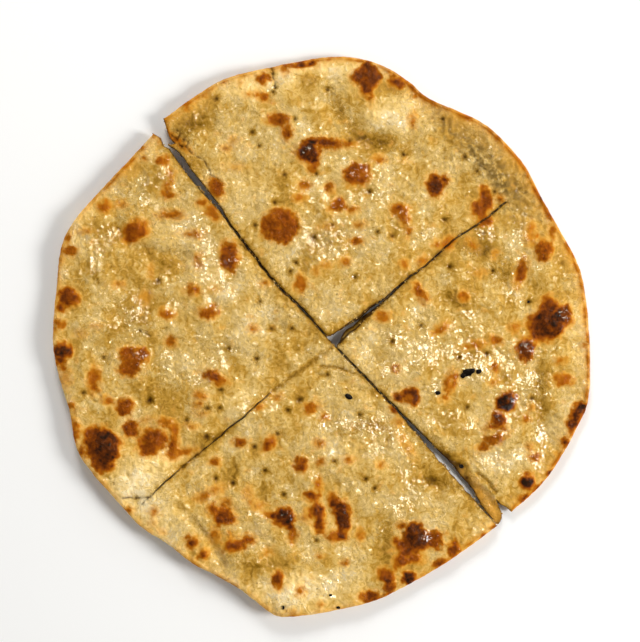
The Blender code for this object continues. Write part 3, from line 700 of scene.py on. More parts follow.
def bread_half(name, stretches, half, material):
    """One half of the bread as a closed mesh, with what its crust shows stored on its points.

    stretches are the outline's parts in counter-clockwise order, each with whether it is rim.
    """
    half["ragged_cracks"] = [ragged(line) for line in half["cracks"]]
    half["ragged_scores"] = [ragged(line) for line in half["scores"]]
    outline = np.vstack([line[:-1] for line, _ in stretches])
    is_rim = np.concatenate([np.full(len(line) - 1, round_edge) for line, round_edge in stretches])
    wall = [[row] + [slit_loop(line, share) for line in half["slits"]]
            for row, share in zip(wall_rows(outline, is_rim, half), WALL_ROWS)]
    under_inner = face_points(wall[0], UNDER_STEP, half, False)
    top_inner = face_points(wall[-1], TOP_STEP, half, True)
    plans = [under_inner] + [np.vstack(loops) for loops in wall] + [top_inner]
    x, y = np.vstack(plans).T
    share = np.repeat([0.0] + WALL_ROWS + [1.0], [len(plan) for plan in plans])

    spot, level = spot_fields(x, y, half)
    toast = toasting(x, y, half)
    low = underside(x, y) + UNDER_BUMPS * np.maximum(hills(x, y, "underside"), 0) * (share == 0)
    z = low + share * top_height(x, y, half, browning(spot, level, toast))
    mesh = bpy.data.meshes.new(name)
    mesh.from_pydata((np.column_stack([x, y, z]) * MM).tolist(), [],
                     shell_faces(wall[0], under_inner, wall[-1], top_inner))
    mesh.update()

    # The underside's spots are the top's, turned by a quarter and paler
    upper, on_wall = share > UNDER_SHARE, (share > 0) & (share < 1)
    under_spot, under_level = spot_fields(y, -x, half)
    to_cut = distance_to_cuts(x, y, half)
    # A broad painted shade beside the cuts
    shade_beside_cut = hills(x, y, "shade_beside_cut") * fade(to_cut, SHADE_BESIDE_CUT_WIDTH)
    # Darker dough round the pinholes, and painted shade along the scores
    halos = HALO_DARKNESS * pit_halos(x, y, half)
    rim_glow = RIM_GLOW * fade(distance_to_line(x, y, half["rim_line"]), RIM_GLOW_WIDTH)
    shown = {
        "spot": np.where(upper, spot, under_spot),
        "level": np.where(upper, level, UNDER_DARKNESS * under_level),
        "toast": toast * (1 - WALL_PALENESS * on_wall),
        # Tone, with painted shade in hollows and beside the cuts and scores
        "tone_and_shade": ellipses_field(x, y, half["tones_and_shade"]) - halos - shade_beside_cut + rim_glow,
        "butter": np.where(share > BUTTER_SHARE, ellipses_field(x, y, half["butter"]), -1),
        "ash_and_shade": ellipses_field(x, y, half["ash_and_shade"]),
        # Painted shade in pinholes, cracks and scores, and right beside the cuts
        "pit": pit_and_cut_shade(x, y, half) * (share > PIT_SHARE),
        # Painted shade on the cut walls near a cut
        "crumb": on_wall * (to_cut < CUT_WALL_SHADE_REACH),
    }
    for kind, values in shown.items():
        stored = mesh.attributes.new(kind, "FLOAT", "POINT")
        stored.data.foreach_set("value", values.astype(np.float32))
    mesh.materials.append(material)
    mesh.shade_smooth()
    return new_object(name, mesh)


def linear(colour):
    """An sRGB hex colour as the linear red, green, blue and alpha that a shader takes."""
    parts = [int(colour[i:i + 2], 16) / 255 for i in (1, 3, 5)]
    return [p / 12.92 if p <= 0.04045 else ((p + 0.055) / 1.055) ** 2.4 for p in parts] + [1]


def new_material(name):
    """A new material, its node tree and its shader."""
    material = bpy.data.materials.new(name)
    material.use_nodes = True
    return material, material.node_tree, material.node_tree.nodes["Principled BSDF"]


def feed(node, inputs):
    """Gives each input a value, or links it to an output or to a node's first output."""
    for name, value in inputs.items():
        if isinstance(value, bpy.types.Node):
            value = value.outputs[0]
        if isinstance(value, bpy.types.NodeSocket):
            node.id_data.links.new(value, node.inputs[name])
        else:
            node.inputs[name].default_value = value


def add(tree, kind, inputs=None, **settings):
    """Adds a node with its settings, and feeds its inputs."""
    node = tree.nodes.new(kind)
    for name, value in settings.items():
        setattr(node, name, value)
    feed(node, inputs or {})
    return node


def fill_ramp(ramp, stops):
    """Gives a colour ramp its stops: the place and the linear colour of each."""
    for place, _ in stops[1:-1]:
        ramp.elements.new(place)
    for element, (place, colour) in zip(ramp.elements, stops):
        element.position = place
        element.color = colour


# Baked whole wheat crust under a film of butter: matt gold dough with a grain of bran, orange to black
# where it touched the fire, and a wet shine wherever the butter lies.
DOUGH_STOPS = [(0.0, "#57390A"), (0.2, "#886012"), (0.42, "#BC8E36"), (0.58, "#D7B060"),
               (0.78, "#F4D085"), (1.0, "#FFE6B0")]
BROWNED_STOPS = [(0.0, "#FFC464"), (0.2, "#F0AA46"), (0.3, "#DA932C"), (0.4, "#C47C1A"),
                 (0.5, "#B4690C"), (0.6, "#A45A08"), (0.7, "#944A05"), (0.8, "#783805"),
                 (0.9, "#562707"), (1.0, "#2A170A")]
# Painted shade: in pinholes, cracks, scores and along the cuts
PIT_SHADE_COLOUR = "#361604"
# Ash, and painted shade in the trough by the upper right rim
ASH_AND_SHADE_COLOUR = "#866830"
# Painted shade on the cut walls
CUT_WALL_SHADE_COLOUR = "#3C260C"
BRAN_COLOUR = "#7A5012"
# The crust's patterns: size across, detail and distortion
PATTERNS = {
    "grain": (0.8, 2.0, 0), "bran": (1.3, 1.0, 0), "wrinkle": (2.0, 2.5, 1.2), "feather": (2.6, 1.2, 0),
    "mottle": (2.8, 2.2, 1.3), "patch": (13.0, 3.0, 0),
}
# Ripples in the skin and in its film of butter, longer than they are wide
RIPPLE, RIPPLE_STRETCH, RIPPLE_TURN = 3.0, (1.3, 0.6, 1), math.radians(-25)
# How much the stored tone and each pattern count for the dough's shade, and where it starts; the wrinkles'
# weight is a painted highlight on their crests
TONE_WEIGHT, SHADE_START = 0.46, -0.307
GRAIN_WEIGHT, MOTTLE_WEIGHT, PATCH_WEIGHT, WRINKLE_HIGHLIGHT_WEIGHT = 0.18, 0.66, 0.88, 0.15
# Heights of what is too fine for the mesh, in mm, on the crust and on its butter: the ripples, the
# crumpled skin, the bran, the grain and the wrinkles
CRUST_HEIGHTS = (0.52, 0.50, 0.10, 0.05, 0.32)
BUTTER_HEIGHTS = (0.95, 0.0, 0.26, 0.04, 0.0)

wheat_crust, tree, shader = new_material("buttered_wheat_crust")
where = add(tree, "ShaderNodeTexCoord").outputs["Object"]
pattern = {kind: add(tree, "ShaderNodeTexNoise", {"Vector": where, "Scale": 1 / (size * MM),
                                                  "Detail": detail, "Distortion": distortion})
           for kind, (size, detail, distortion) in PATTERNS.items()}
drawn_out = add(tree, "ShaderNodeMapping", {"Vector": where, "Rotation": (0, 0, RIPPLE_TURN),
                                            "Scale": RIPPLE_STRETCH})
ripple = add(tree, "ShaderNodeTexNoise", {"Vector": drawn_out, "Scale": 1 / (RIPPLE * MM), "Detail": 0.5})
stored = {kind: add(tree, "ShaderNodeAttribute", attribute_name=kind).outputs["Fac"]
          for kind in ("spot", "level", "toast", "tone_and_shade", "butter", "ash_and_shade", "pit", "crumb")}

# Wrinkles: thin curved lines, where the pattern passes its middle, in some patches only; raised in the
# relief, and painted paler as a highlight on their crests
line = add(tree, "ShaderNodeMath", {0: pattern["wrinkle"], 1: 0.5}, operation="SUBTRACT")
line = add(tree, "ShaderNodeMath", {0: line}, operation="ABSOLUTE")
line = add(tree, "ShaderNodeMapRange", {"Value": line, "From Min": 0.07, "From Max": 0.0},
           interpolation_type="SMOOTHSTEP")
wrinkled = add(tree, "ShaderNodeMapRange", {"Value": pattern["patch"], "From Min": 0.42, "From Max": 0.58},
               interpolation_type="SMOOTHSTEP")
line = add(tree, "ShaderNodeMath", {0: line, 1: wrinkled}, operation="MULTIPLY")

# Pale or soaked dough, with the painted shade in hollows and beside the cuts: the stored tone with three
# sizes of mottling on it, and a painted highlight along the wrinkles
shade = add(tree, "ShaderNodeMath", {0: stored["tone_and_shade"], 1: TONE_WEIGHT, 2: SHADE_START},
            operation="MULTIPLY_ADD")
for source, weight in ((pattern["grain"], GRAIN_WEIGHT), (pattern["mottle"], MOTTLE_WEIGHT),
                       (pattern["patch"], PATCH_WEIGHT), (line, WRINKLE_HIGHLIGHT_WEIGHT)):
    shade = add(tree, "ShaderNodeMath", {0: source, 1: weight, 2: shade}, operation="MULTIPLY_ADD")
dough = add(tree, "ShaderNodeValToRGB", {"Fac": shade})
fill_ramp(dough.color_ramp, [(place, linear(colour)) for place, colour in DOUGH_STOPS])

# Browned spots, feathered at their edges and broken up inside, over the lighter toasting
edge = add(tree, "ShaderNodeMath", {0: pattern["feather"], 1: 0.55, 2: stored["spot"]},
           operation="MULTIPLY_ADD")
edge = add(tree, "ShaderNodeMapRange", {"Value": edge, "From Min": 0.38, "From Max": 1.22},
           interpolation_type="SMOOTHSTEP")
speckle = 0.62
for source in (pattern["mottle"], pattern["feather"]):
    speckle = add(tree, "ShaderNodeMath", {0: source, 1: 0.4, 2: speckle}, operation="MULTIPLY_ADD")
brown = add(tree, "ShaderNodeMath", {0: stored["level"], 1: speckle}, operation="MULTIPLY")
brown = add(tree, "ShaderNodeMath", {0: brown, 1: edge}, operation="MULTIPLY")
toast = add(tree, "ShaderNodeMath", {0: stored["toast"], 1: speckle}, operation="MULTIPLY")
brown = add(tree, "ShaderNodeMath", {0: brown, 1: toast}, operation="MAXIMUM")
browned = add(tree, "ShaderNodeValToRGB", {"Fac": brown})
fill_ramp(browned.color_ramp, [(place, linear(colour)) for place, colour in BROWNED_STOPS])
covered = add(tree, "ShaderNodeMapRange", {"Value": brown, "From Min": 0.02, "From Max": 0.5})

# Over the dough, from the first to the last: bran specks, more of them where ash clings; the ash in olive
# brown patches, also painted shade in the trough by the upper right rim; painted shade on the cut walls;
# the browning; and painted shade in pinholes, cracks and scores and along the cuts
specks = add(tree, "ShaderNodeMath", {0: stored["ash_and_shade"], 1: 0.07, 2: pattern["bran"]},
             operation="MULTIPLY_ADD")
fleck = add(tree, "ShaderNodeMapRange", {"Value": specks, "From Min": 0.68, "From Max": 0.80, "To Max": 0.6})
ash_and_shade = add(tree, "ShaderNodeMath", {0: pattern["feather"], 1: 2.6, 2: -0.7}, operation="MULTIPLY_ADD")
ash_and_shade = add(tree, "ShaderNodeMath", {0: stored["ash_and_shade"], 1: ash_and_shade}, operation="MULTIPLY", use_clamp=True)
# Painted shade in pinholes, cracks, scores and beside the cuts
pit = add(tree, "ShaderNodeMath", {0: stored["pit"], 1: 0.88}, operation="MULTIPLY")
# Painted shade on the cut walls
crumb = add(tree, "ShaderNodeMath", {0: stored["crumb"], 1: 0.85}, operation="MULTIPLY")
skin = dough
for amount, colour in ((fleck, linear(BRAN_COLOUR)), (ash_and_shade, linear(ASH_AND_SHADE_COLOUR)),
                       (crumb, linear(CUT_WALL_SHADE_COLOUR)), (covered, browned), (pit, linear(PIT_SHADE_COLOUR))):
    skin = add(tree, "ShaderNodeMix", {0: amount, 6: skin, 7: colour}, data_type="RGBA").outputs[2]

# Butter: patches of film that shine, fewer on browned spots, over crust that is matt where it stayed dry
film = add(tree, "ShaderNodeMath", {0: stored["butter"], 1: 0.55, 2: pattern["mottle"]},
           operation="MULTIPLY_ADD")
film = add(tree, "ShaderNodeMath", {0: brown, 1: -0.22, 2: film}, operation="MULTIPLY_ADD")
film = add(tree, "ShaderNodeMapRange", {"Value": film, "From Min": 0.55, "From Max": 0.72,
                                        "To Min": 0.03, "To Max": 1.0}, interpolation_type="SMOOTHSTEP")
dry = add(tree, "ShaderNodeMath", {0: stored["ash_and_shade"], 1: 0.35, 2: stored["pit"]}, operation="MULTIPLY_ADD")
not_dry = add(tree, "ShaderNodeMath", {0: dry, 1: -1.7, 2: 1.0}, operation="MULTIPLY_ADD", use_clamp=True)
not_charred = add(tree, "ShaderNodeMath", {0: brown, 1: -0.5, 2: 1.0}, operation="MULTIPLY_ADD")
for share in (not_dry, not_charred):
    film = add(tree, "ShaderNodeMath", {0: film, 1: share}, operation="MULTIPLY")
matt = add(tree, "ShaderNodeMapRange", {"Value": film, "To Min": 0.65, "To Max": 0.45})
feed(shader, {"Base Color": skin, "Roughness": matt, "Specular IOR Level": 0.03,
              "Coat Weight": film, "Coat Roughness": 0.06, "Coat IOR": 1.65})

# The relief too fine for the mesh: dry dough is the rougher
dryness = add(tree, "ShaderNodeMapRange", {"Value": stored["tone_and_shade"], "From Min": -0.5, "From Max": 0.6,
                                           "To Min": 0.3, "To Max": 1.1})
crumpled = add(tree, "ShaderNodeMath", {0: pattern["mottle"], 1: dryness}, operation="MULTIPLY")
for heights, socket in ((CRUST_HEIGHTS, "Normal"), (BUTTER_HEIGHTS, "Coat Normal")):
    relief = add(tree, "ShaderNodeMath", {0: ripple, 1: heights[0]}, operation="MULTIPLY")
    for source, height in zip((crumpled, pattern["bran"], pattern["grain"], line), heights[1:]):
        relief = add(tree, "ShaderNodeMath", {0: source, 1: height, 2: relief}, operation="MULTIPLY_ADD")
    feed(shader, {socket: add(tree, "ShaderNodeBump", {"Height": relief, "Strength": 1.0, "Distance": MM})})

lower_half["rim_line"] = smooth_curve(lower_half["rim"], RIM_LINE_STEP)
upper_edge, lower_edge = cut_edges(LONG_CUT, LONG_CUT_WIDTHS, CUT_STEP)
lower_rim = smooth_curve(lower_half["rim"], RIM_STEP)
lower_cut = np.vstack([lower_rim[:1], lower_edge[1:-1][::-1], cornered_line(PLAIN_MOUTH, CUT_STEP)])
lower_half["cut_line"] = lower_cut[::3]
lower_left = bread_half("lower_left_crust", [(lower_rim[::-1], True), (lower_cut, False)],
                        lower_half, wheat_crust)
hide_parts("lower_left_half")
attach(lower_left, "root")

# ================================================================================================
# Upper right half
# The same dough. The cross cut is an open slot here, which stops short of the rim, so the bread's upper
# and right quarters still hang together. Its upper left corner tore, and a strip beside the long cut's
# lower end was squashed down and slants out.
# ================================================================================================

TORN_MOUTH = [
    (-65.9, 91.4), (-64.6, 87.2), (-63.6, 84.0), (-62.0, 81.8), (-60.7, 81.0), (-64.0, 80.4),
    (-60.2, 78.0), (-57.4, 75.0), (-54.3, 70.0), (-49.9, 64.7), (-46.2, 60.0),
]
STRIP_END = [(74.9, -79.2), (75.8, -78.2), (76.5, -76.2), (76.2, -74.0), (73.8, -68.6),
             (75.6, -70.6), (78.3, -72.0), (80.5, -73.9)]
SLOT = [
    (5.45, -1.9), (10.1, 1.8), (14.4, 5.2), (20.3, 10.5), (26.3, 15.2), (33.4, 21.4),
    (39.0, 26.1), (45.3, 30.8), (52.3, 37.3), (57.9, 42.0), (62.8, 44.9), (69.8, 49.8),
    (78.4, 57.0),
]
SLOT_WIDTHS = [(0, 5.0), (5, 3.8), (12, 3.6), (18, 3.2), (23, 2.0), (28, 1.1), (34, 0.8), (45, GAP),
               (110, GAP)]
STRIP_EDGE = [(58.6, -57.4), (63.5, -59.8), (69.5, -62.2), (73.0, -66.0), (74.6, -69.6)]
STRIP_DROP = 1.9
STRIP_SLOPE = 3.2

upper_half = {
    "rim": [
        (-65.9, 91.4), (-56.9, 98), (-49.4, 103.2), (-39.8, 108.4), (-29.6, 111.2), (-9.1, 115.7),
        (4.5, 117.6), (16.5, 116.9), (28, 113.1), (37.8, 106.8), (45.5, 100.5), (60, 94.1), (69.8, 89),
        (79.6, 80.1), (86.9, 70.7), (93.3, 58.3), (100.9, 44.6), (108.6, 30.1), (112.2, 13.1),
        (113.5, -8.8), (112.6, -27.6), (107.8, -38.7), (100.1, -52.7), (92.4, -63), (80.5, -73.9),
    ],
    "swells": [
        (27, 93, 24, 15, 1.1), (32, 103, 9, 5, -0.6), (69, 35, 18, 10, -20, -0.8), (79, 25, 12, 10, -0.7),
        (10, 62, 44, 30, 20, 0.6), (58, 10, 34, 26, 30, 0.6), (102, 10, 14, 26, 0.5),
        (-60.5, 83.5, 8, 8, -1.3),
    ],
    "creases": [
        ([(5, 98), (13, 88), (26, 81), (37, 83)], 5, 1.4),
        ([(44, 96), (60, 86), (73, 74), (84, 56)], 5.5, 1.6),
        ([(90.7, -13), (92.5, -28), (95.8, -43)], 3, 1.1),
        ([(60.8, -50), (71, -50.6)], 3, 0.7), ([(66, -57.5), (70, -61), (73.5, -65.5)], 0.8, 0.6),
        ([(47, -44), (54, -52.5), (60, -59.5)], 3.4, 1),
        ([(-59, 78), (-53.5, 72.8), (-49.4, 68.8), (-45.5, 64)], 2.4, 0.4),
    ],
    "blisters": [
        (-16.8, 46.4, 16, 14, 0.8), (-5.2, 77.9, 11, 9, 0.9), (15.2, 68.1, 12, 9, 20, 0.8),
        (48.5, 63.4, 8, 10, 0.8), (20.7, 108.6, 9, 9, 0.8), (6.8, 55.5, 8, 7, 0.6), (35, 52, 8, 8, 0.6),
        (-44.9, 62, 8, 7, -30, 0.5), (-17, 89.5, 9, 9, -40, 0.6), (93.3, 35.3, 9, 8, 0.6),
        (96, 5.2, 17, 14, 1.1), (86, -5.4, 8, 11, 0.9), (78.3, -27.1, 9, 8, 1.1), (74.9, -35.2, 8, 7, 0.8),
        (54.9, -19, 10, 7, 70, 0.6), (37.8, -25.4, 8, 8, 0.8), (108, -32, 7, 10, -20, 0.7),
        (86.9, -60.8, 8, 8, 1), (72.8, -42.9, 12, 8, 30, 0.7), (101.8, -18.2, 8, 7, 0.5),
    ],
    "pits": [
        (-28.7, 85.8), (-25.7, 80.1), (-15.2, 67.9), (-10.8, 91.3), (-1.8, 68.5), (-27.4, 46.8),
        (-19.3, 56.2), (-10.4, 31), (-12.7, 27.6), (-2.7, 41.7), (-43.6, 99.7), (3.1, 103.7), (12.2, 82.2),
        (35, 76.4), (60.8, 75.5), (20.6, 60.9), (5, 46.8), (24, 44), (30.1, 42.1), (52.1, 49.2),
        (54.3, 29.3), (14.5, 25), (42.3, 4.7), (72.4, 27.6), (-57.3, 82.5), (-58.2, 79.6), (59.3, -54.6),
        (-20.7, 112.6), (-20.1, 110.4), (-19, 104.3), (-20, 102.6), (51.5, 91.7), (73.2, 60.9),
        (58.3, -8.8), (61.7, -29.7), (69.8, -7.1), (30.1, -2), (61.7, -59.6), (88.6, -25.9), (87.5, 14.6),
        (65.8, 69.5),
    ],
    "cracks": [
        [(-20.6, 112.8), (-20, 109.5), (-19.2, 106.5), (-19, 104)],
        [(-62.4, 84.6), (-60.2, 82.8), (-58.8, 80.4), (-56.6, 79.4), (-54.5, 77)],
        [(-60.4, 87), (-59, 84.8), (-60, 82.8)], [(-56.6, 79.4), (-55.6, 81.6)],
        [(-54.5, 77), (-49, 74), (-47.8, 71.5), (-46, 68), (-41.5, 65)],
    ],
    "scores": [
        [(84, 71.8), (87.4, 70.2)], [(81, 61.2), (85, 62.6), (88.4, 64.4)],
        [(66, -57.5), (70, -61), (73.5, -65.5)],
    ],
    "slits": [],
    "pale_middles": [
        (37.2, -26, 3.4, 3.2, 0.3), (54.9, -19, 3, 1.6, 70, 0.3), (31.8, -13.5, 1.4, 1.4, 0.6),
    ],
    "spots": [
        (-24, 108.6, 5, 4, 0.75), (-15.5, 112.1, 2.5, 4, 0.5), (-24, 100.5, 6, 3, -20, 0.65),
        (-30.8, 101.4, 2.5, 2, 0.45), (-33.8, 106.5, 3, 3, 0.35), (-18, 91.2, 8, 5.5, 0.65),
        (-14.2, 86.5, 4, 7, 0.7), (-5.2, 77.9, 10, 8, 0.9), (3.5, 81.2, 15, 4, -3, 0.78),
        (-3.1, 72.8, 4, 6, 0.7), (-6.5, 63.8, 4.5, 3.5, 0.6), (-9.1, 58.3, 4, 2.5, 0.55),
        (-44.9, 63.4, 7, 5.5, -30, 0.62), (-43.2, 60.6, 4, 5, 30, 0.7), (-16.8, 46.4, 16, 14.5, 0.7),
        (-8.2, 21.6, 5, 7, 0.6), (-1.8, 27.2, 3, 2.5, 0.4), (-39.4, 79.2, 4, 2.5, 0.4),
        (-36, 82.2, 4, 2.5, 0.4), (-36.4, 71.1, 7, 3, 0.3), (-56.4, 95.4, 3, 2.5, 0.5),
        (-46.6, 103.5, 4, 2, 30, 0.5), (-49.2, 101.6, 2.5, 1.5, 0.5), (-9.5, 115.2, 3, 1, 0.9),
        (-5.7, 113.9, 12, 3, 8, 0.35), (20.2, 109.4, 9.5, 10.5, 0.8), (16.1, 109, 7, 6, 0.6),
        (19.5, 103.6, 5, 4.5, 0.65), (32.3, 106.7, 5.5, 4.5, 0.8), (30.6, 109.9, 2.5, 3, 0.6),
        (40.4, 101, 3, 2, 0.5), (38.7, 90.7, 3, 4.5, 0.5), (39.9, 94.6, 2, 3, 0.3),
        (21.2, 98.8, 2.5, 5, 0.3), (15.2, 68.1, 11.5, 8.5, 20, 0.7), (25, 74.3, 5, 3, 0.5),
        (3.7, 62.4, 3, 4, 0.65), (7.1, 55.3, 6, 5, 40, 0.75), (13.5, 53.4, 3.5, 2.5, 0.55),
        (33.5, 53.6, 6, 4, 0.75), (35.2, 49.8, 4, 5, 0.7), (37, 44.2, 2.5, 4, 0.55),
        (48.5, 63.4, 6.5, 9, 0.85), (51.9, 66, 4, 3.5, 0.6), (16.5, 46.8, 4, 2.5, 0.5),
        (15.2, 40.4, 5, 3.5, 0.6), (10.1, 31.4, 4, 4, 0.5), (2.4, 30.1, 4, 2.5, 0.45),
        (35.2, 30.3, 3.5, 3, 0.5), (2, 45.9, 4, 2, 0.4), (48.9, 38.7, 3.5, 3, 0.55),
        (53.2, 39.1, 7, 4.5, 40, 0.6), (42.9, 31.8, 5, 3.5, 40, 0.45), (69, 60.4, 4, 5, 0.75),
        (66.8, 53.6, 7, 8, 0.72), (69.8, 55.7, 5, 6, 0.55), (75.4, 58.3, 4, 2.5, -20, 0.5),
        (69.4, 48.9, 5, 4, 0.7), (63.8, 38.7, 5, 3, -45, 0.5), (73.2, 34.4, 4, 2.5, 45, 0.35),
        (84.4, 27.2, 11, 4, 75, 0.7), (93.4, 36.2, 7, 8.5, 0.7), (88.2, 43.3, 5, 9, 0.42),
        (97.7, 44.1, 3, 6, 0.6), (93.2, 58.7, 2, 3, 0.9), (106.3, 34.5, 2, 3, 0.75),
        (42.1, 18.2, 8, 4, -50, 0.65), (60.2, 17.2, 4, 3.5, 0.6), (67.2, 26.7, 4, 3, 0.4),
        (25.9, 8.4, 5.5, 4.5, 0.5), (94.6, 4.5, 15, 13, 0.78), (95.5, 5.5, 10, 8, 0.86),
        (95.5, 12, 8, 9, 0.78), (102, 8.5, 7, 9, 0.85), (99, 7.5, 4, 6, 0.9), (81.8, 3.7, 5, 4, 0.5),
        (50.6, 3.3, 6, 3, 30, 0.55), (73.2, -1.7, 5, 4, 0.6), (66, -3.3, 5, 3, 0.5),
        (61.3, -4.1, 3, 2, 0.45), (86, -5.4, 7, 10, 0.85), (100.9, -10.1, 4, 2.5, 0.5),
        (101.8, -18.2, 7, 5, 0.6), (73.2, -13.1, 3, 4, 0.55), (72.8, -19, 3.5, 3, 0.5),
        (54.9, -19, 9, 5, 70, 0.6), (51.9, -25.9, 4, 3, 0.4), (37.8, -25.4, 7, 7.5, 0.85),
        (32.9, -25.4, 3, 2.5, 0.8), (31.8, -13.5, 2.5, 2.5, 0.6), (78.3, -27.1, 7.5, 7.5, 0.95),
        (75.2, -35, 6.5, 5.5, 0.88), (70.6, -38.3, 4, 3, 0.45), (73.4, -42.9, 10, 4.6, 32, 0.62),
        (68.2, -46.6, 5, 3, 30, 0.5), (86.4, -34.4, 3, 3, 0.5), (88.6, -29.7, 2, 2, 0.5),
        (109.3, -30.4, 4, 5, 0.92), (107.6, -33.4, 11, 5, 63, 0.93), (106, -37, 4, 3, 0.88),
        (102.7, -44.6, 4, 4, 0.85), (89.9, -50.6, 3.5, 3, 0.7), (87.7, -46.3, 3, 3, 0.4),
        (86.9, -60.8, 5.5, 6, 0.95), (100.5, -49.8, 2, 1.5, 0.5), (96.7, -57.4, 2.5, 2, 0.6),
        (92.4, -62.6, 5, 1, 45, 0.95), (84.7, -69, 5, 3, 40, 0.6), (111.6, -4.5, 2.5, 2, 0.6),
        (65.5, -65, 18, 7, -52, 0.25), (72.5, -73.5, 13, 7, -62, 0.22), (-64.3, 87, 2, 5, 0.4),
        (-60.4, 82.2, 6, 3.4, -40, 0.55), (-56.5, 79, 4, 2.4, -40, 0.5),
    ],
    # Paler dough above 0; below 0, dough soaked with butter, and painted shade in the hollows, the trough,
    # the squashed ledge and beside the torn crack
    "tones_and_shade": [
        (-25, 106, 50, 10, 12, 0.5), (5, 112, 50, 7, 0.6), (-3.6, 109, 12, 6, -0.7),
        (-55, 88, 18, 12, 30, -0.7), (-42, 97, 14, 8, -0.4), (10.5, 93, 20, 9, -50, -0.6),
        (25, 82, 26, 9, -8, -0.65), (72, 74, 44, 13, -46, -0.3), (31.5, 103.9, 9, 5, -10, -0.8),
        (28, 93, 16, 12, 0.8), (66, 37, 20, 9, -20, -0.9), (78, 27, 12, 12, -0.7), (93, -25, 7, 34, -0.6),
        (57, 15, 12, 8, -0.4), (103, 28, 8, 18, 20, -0.4), (80, -53, 22, 9, 20, 0.3),
        (54, -52.5, 24, 8, -50, -0.8), (-30, 60, 24, 18, 0.2), (-51, 71.5, 24, 4, -44, -0.4),
        (70, -70, 22, 7, -58, -0.25), (98, 20, 14, 14, -0.05),
    ],
    "butter": [
        (2, 39, 18, 15, 1.1), (18, 66, 16, 18, 0.6), (34, 50, 9, 12, 0.7), (45, 44, 8, 6, 0.7),
        (-3, 60, 14, 14, 0.4), (50, -3, 26, 14, 20, 0.8), (66, -8, 18, 16, 1), (84, -20, 20, 26, 0.8),
        (70, 43, 7, 9, 1), (85, 38, 8, 26, 0.6), (62, 10, 10, 8, 0.5), (27, -17, 6, 12, -30, 0.6),
        (48, -18, 5, 14, 0.6), (75, -42, 9, 7, 0.8), (102, 9, 6, 7, 1), (80, 18, 10, 8, 0.5),
        (-6, 78, 8, 7, 0.7), (7, 55, 7, 7, 0.6), (80, -54, 14, 8, 0.6), (35, -10, 14, 10, 0.5),
        (50, -33, 14, 8, 0.6), (62, -40, 9, 8, 0.7), (30, 0, 12, 10, 0.5), (89, -53, 10, 9, 0.7),
        (71, -51, 12, 7, 0.6), (93, -42, 6, 10, 0.6), (86, -5, 8, 11, 0.7), (78, -32, 10, 10, 0.7),
    ],
    # Ash from the oven; along the trough inside the upper right rim the same darkening is also a painted
    # shade
    "ash_and_shade": [
        (78, 63, 28, 15, -52, 1.2), (64, 78, 28, 14, -45, 1), (52, 90, 18, 10, -30, 0.7),
        (88, 46, 16, 9, -60, 0.8), (5, 44, 34, 20, 0.4), (-59.5, 82, 7, 11, 20, 0.5),
    ],
    "slanted": [
        (18.8, 5.3, 21, 5, 38, 2.1), (11.5, 0.6, 7, 4, 38, 1.1), (17, 10, 22, 4, 38, 1),
        (-24, 30, 75, 8, -51, 0.28), (33, -32, 36, 8, -47, 0.2),
    ],
    "squashed": [(STRIP_EDGE, [(80, -84)] + LONG_CUT[:-5:-1], STRIP_DROP, STRIP_SLOPE)],
}

upper_half["rim_line"] = smooth_curve(upper_half["rim"], RIM_LINE_STEP)
slot_above, slot_below = cut_edges(SLOT, SLOT_WIDTHS, CUT_STEP)
slot_end = smooth_curve(SLOT, CUT_STEP)[-1:]
slot_start = np.hypot(*(upper_edge - slot_above[0]).T).argmin()
slot_stop = np.hypot(*(upper_edge - slot_below[0]).T).argmin()
upper_rim = smooth_curve(upper_half["rim"], RIM_STEP)
upper_cut = np.vstack([
    cornered_line(TORN_MOUTH, CUT_STEP), upper_edge[1:slot_start], slot_above[:-1], slot_end,
    slot_below[:-1][::-1], upper_edge[slot_stop + 1:-1], cornered_line(STRIP_END, CUT_STEP),
])
upper_half["cut_line"] = upper_cut[::3]
upper_right = bread_half("upper_right_crust", [(upper_cut, False), (upper_rim[::-1], True)],
                         upper_half, wheat_crust)
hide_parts("upper_right_half")
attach(upper_right, "root")

# ================================================================================================
# Crumbs along the cuts
# The knife broke the dry crust as it went through, and left a row of small toasted crumbs on both
# sides of the cuts and of the torn corner.
# ================================================================================================

CRUMB_SPACING, CRUMB_SPREAD, CRUMB_SIZE = 0.9, 0.45, 0.42
CRUMB_SINK = 0.15
CRUMB_SHARE = 0.55
CRUMB_WARP = 0.5
CRUMB_TINT = 2.0
# From the least to the most: how far aside, in spreads, how long, in sizes, and how far turned
CRUMB_RANGES = [((-1, -1, -1.5), (1, 1, 0.1)), ((0.3, 0.3, 0.3), (1, 1, 0.7)),
                ((0, 0, 0), (0.6, 0.6, 6.28))]
CRUMB_STOPS = [(0.35, "#5A3A12"), (0.5, "#B08238"), (0.65, "#E2BC72")]

# Toasted crumbs: dry and matt, brown to pale from one to the next
toasted, tree, shader = new_material("toasted_crumbs")
where = add(tree, "ShaderNodeTexCoord").outputs["Object"]
tint = add(tree, "ShaderNodeTexNoise", {"Vector": where, "Scale": 1 / (CRUMB_TINT * MM), "Detail": 1.0})
colours = add(tree, "ShaderNodeValToRGB", {"Fac": tint})
fill_ramp(colours.color_ramp, [(place, linear(colour)) for place, colour in CRUMB_STOPS])
feed(shader, {"Base Color": colours, "Roughness": 0.7, "Specular IOR Level": 0.1})

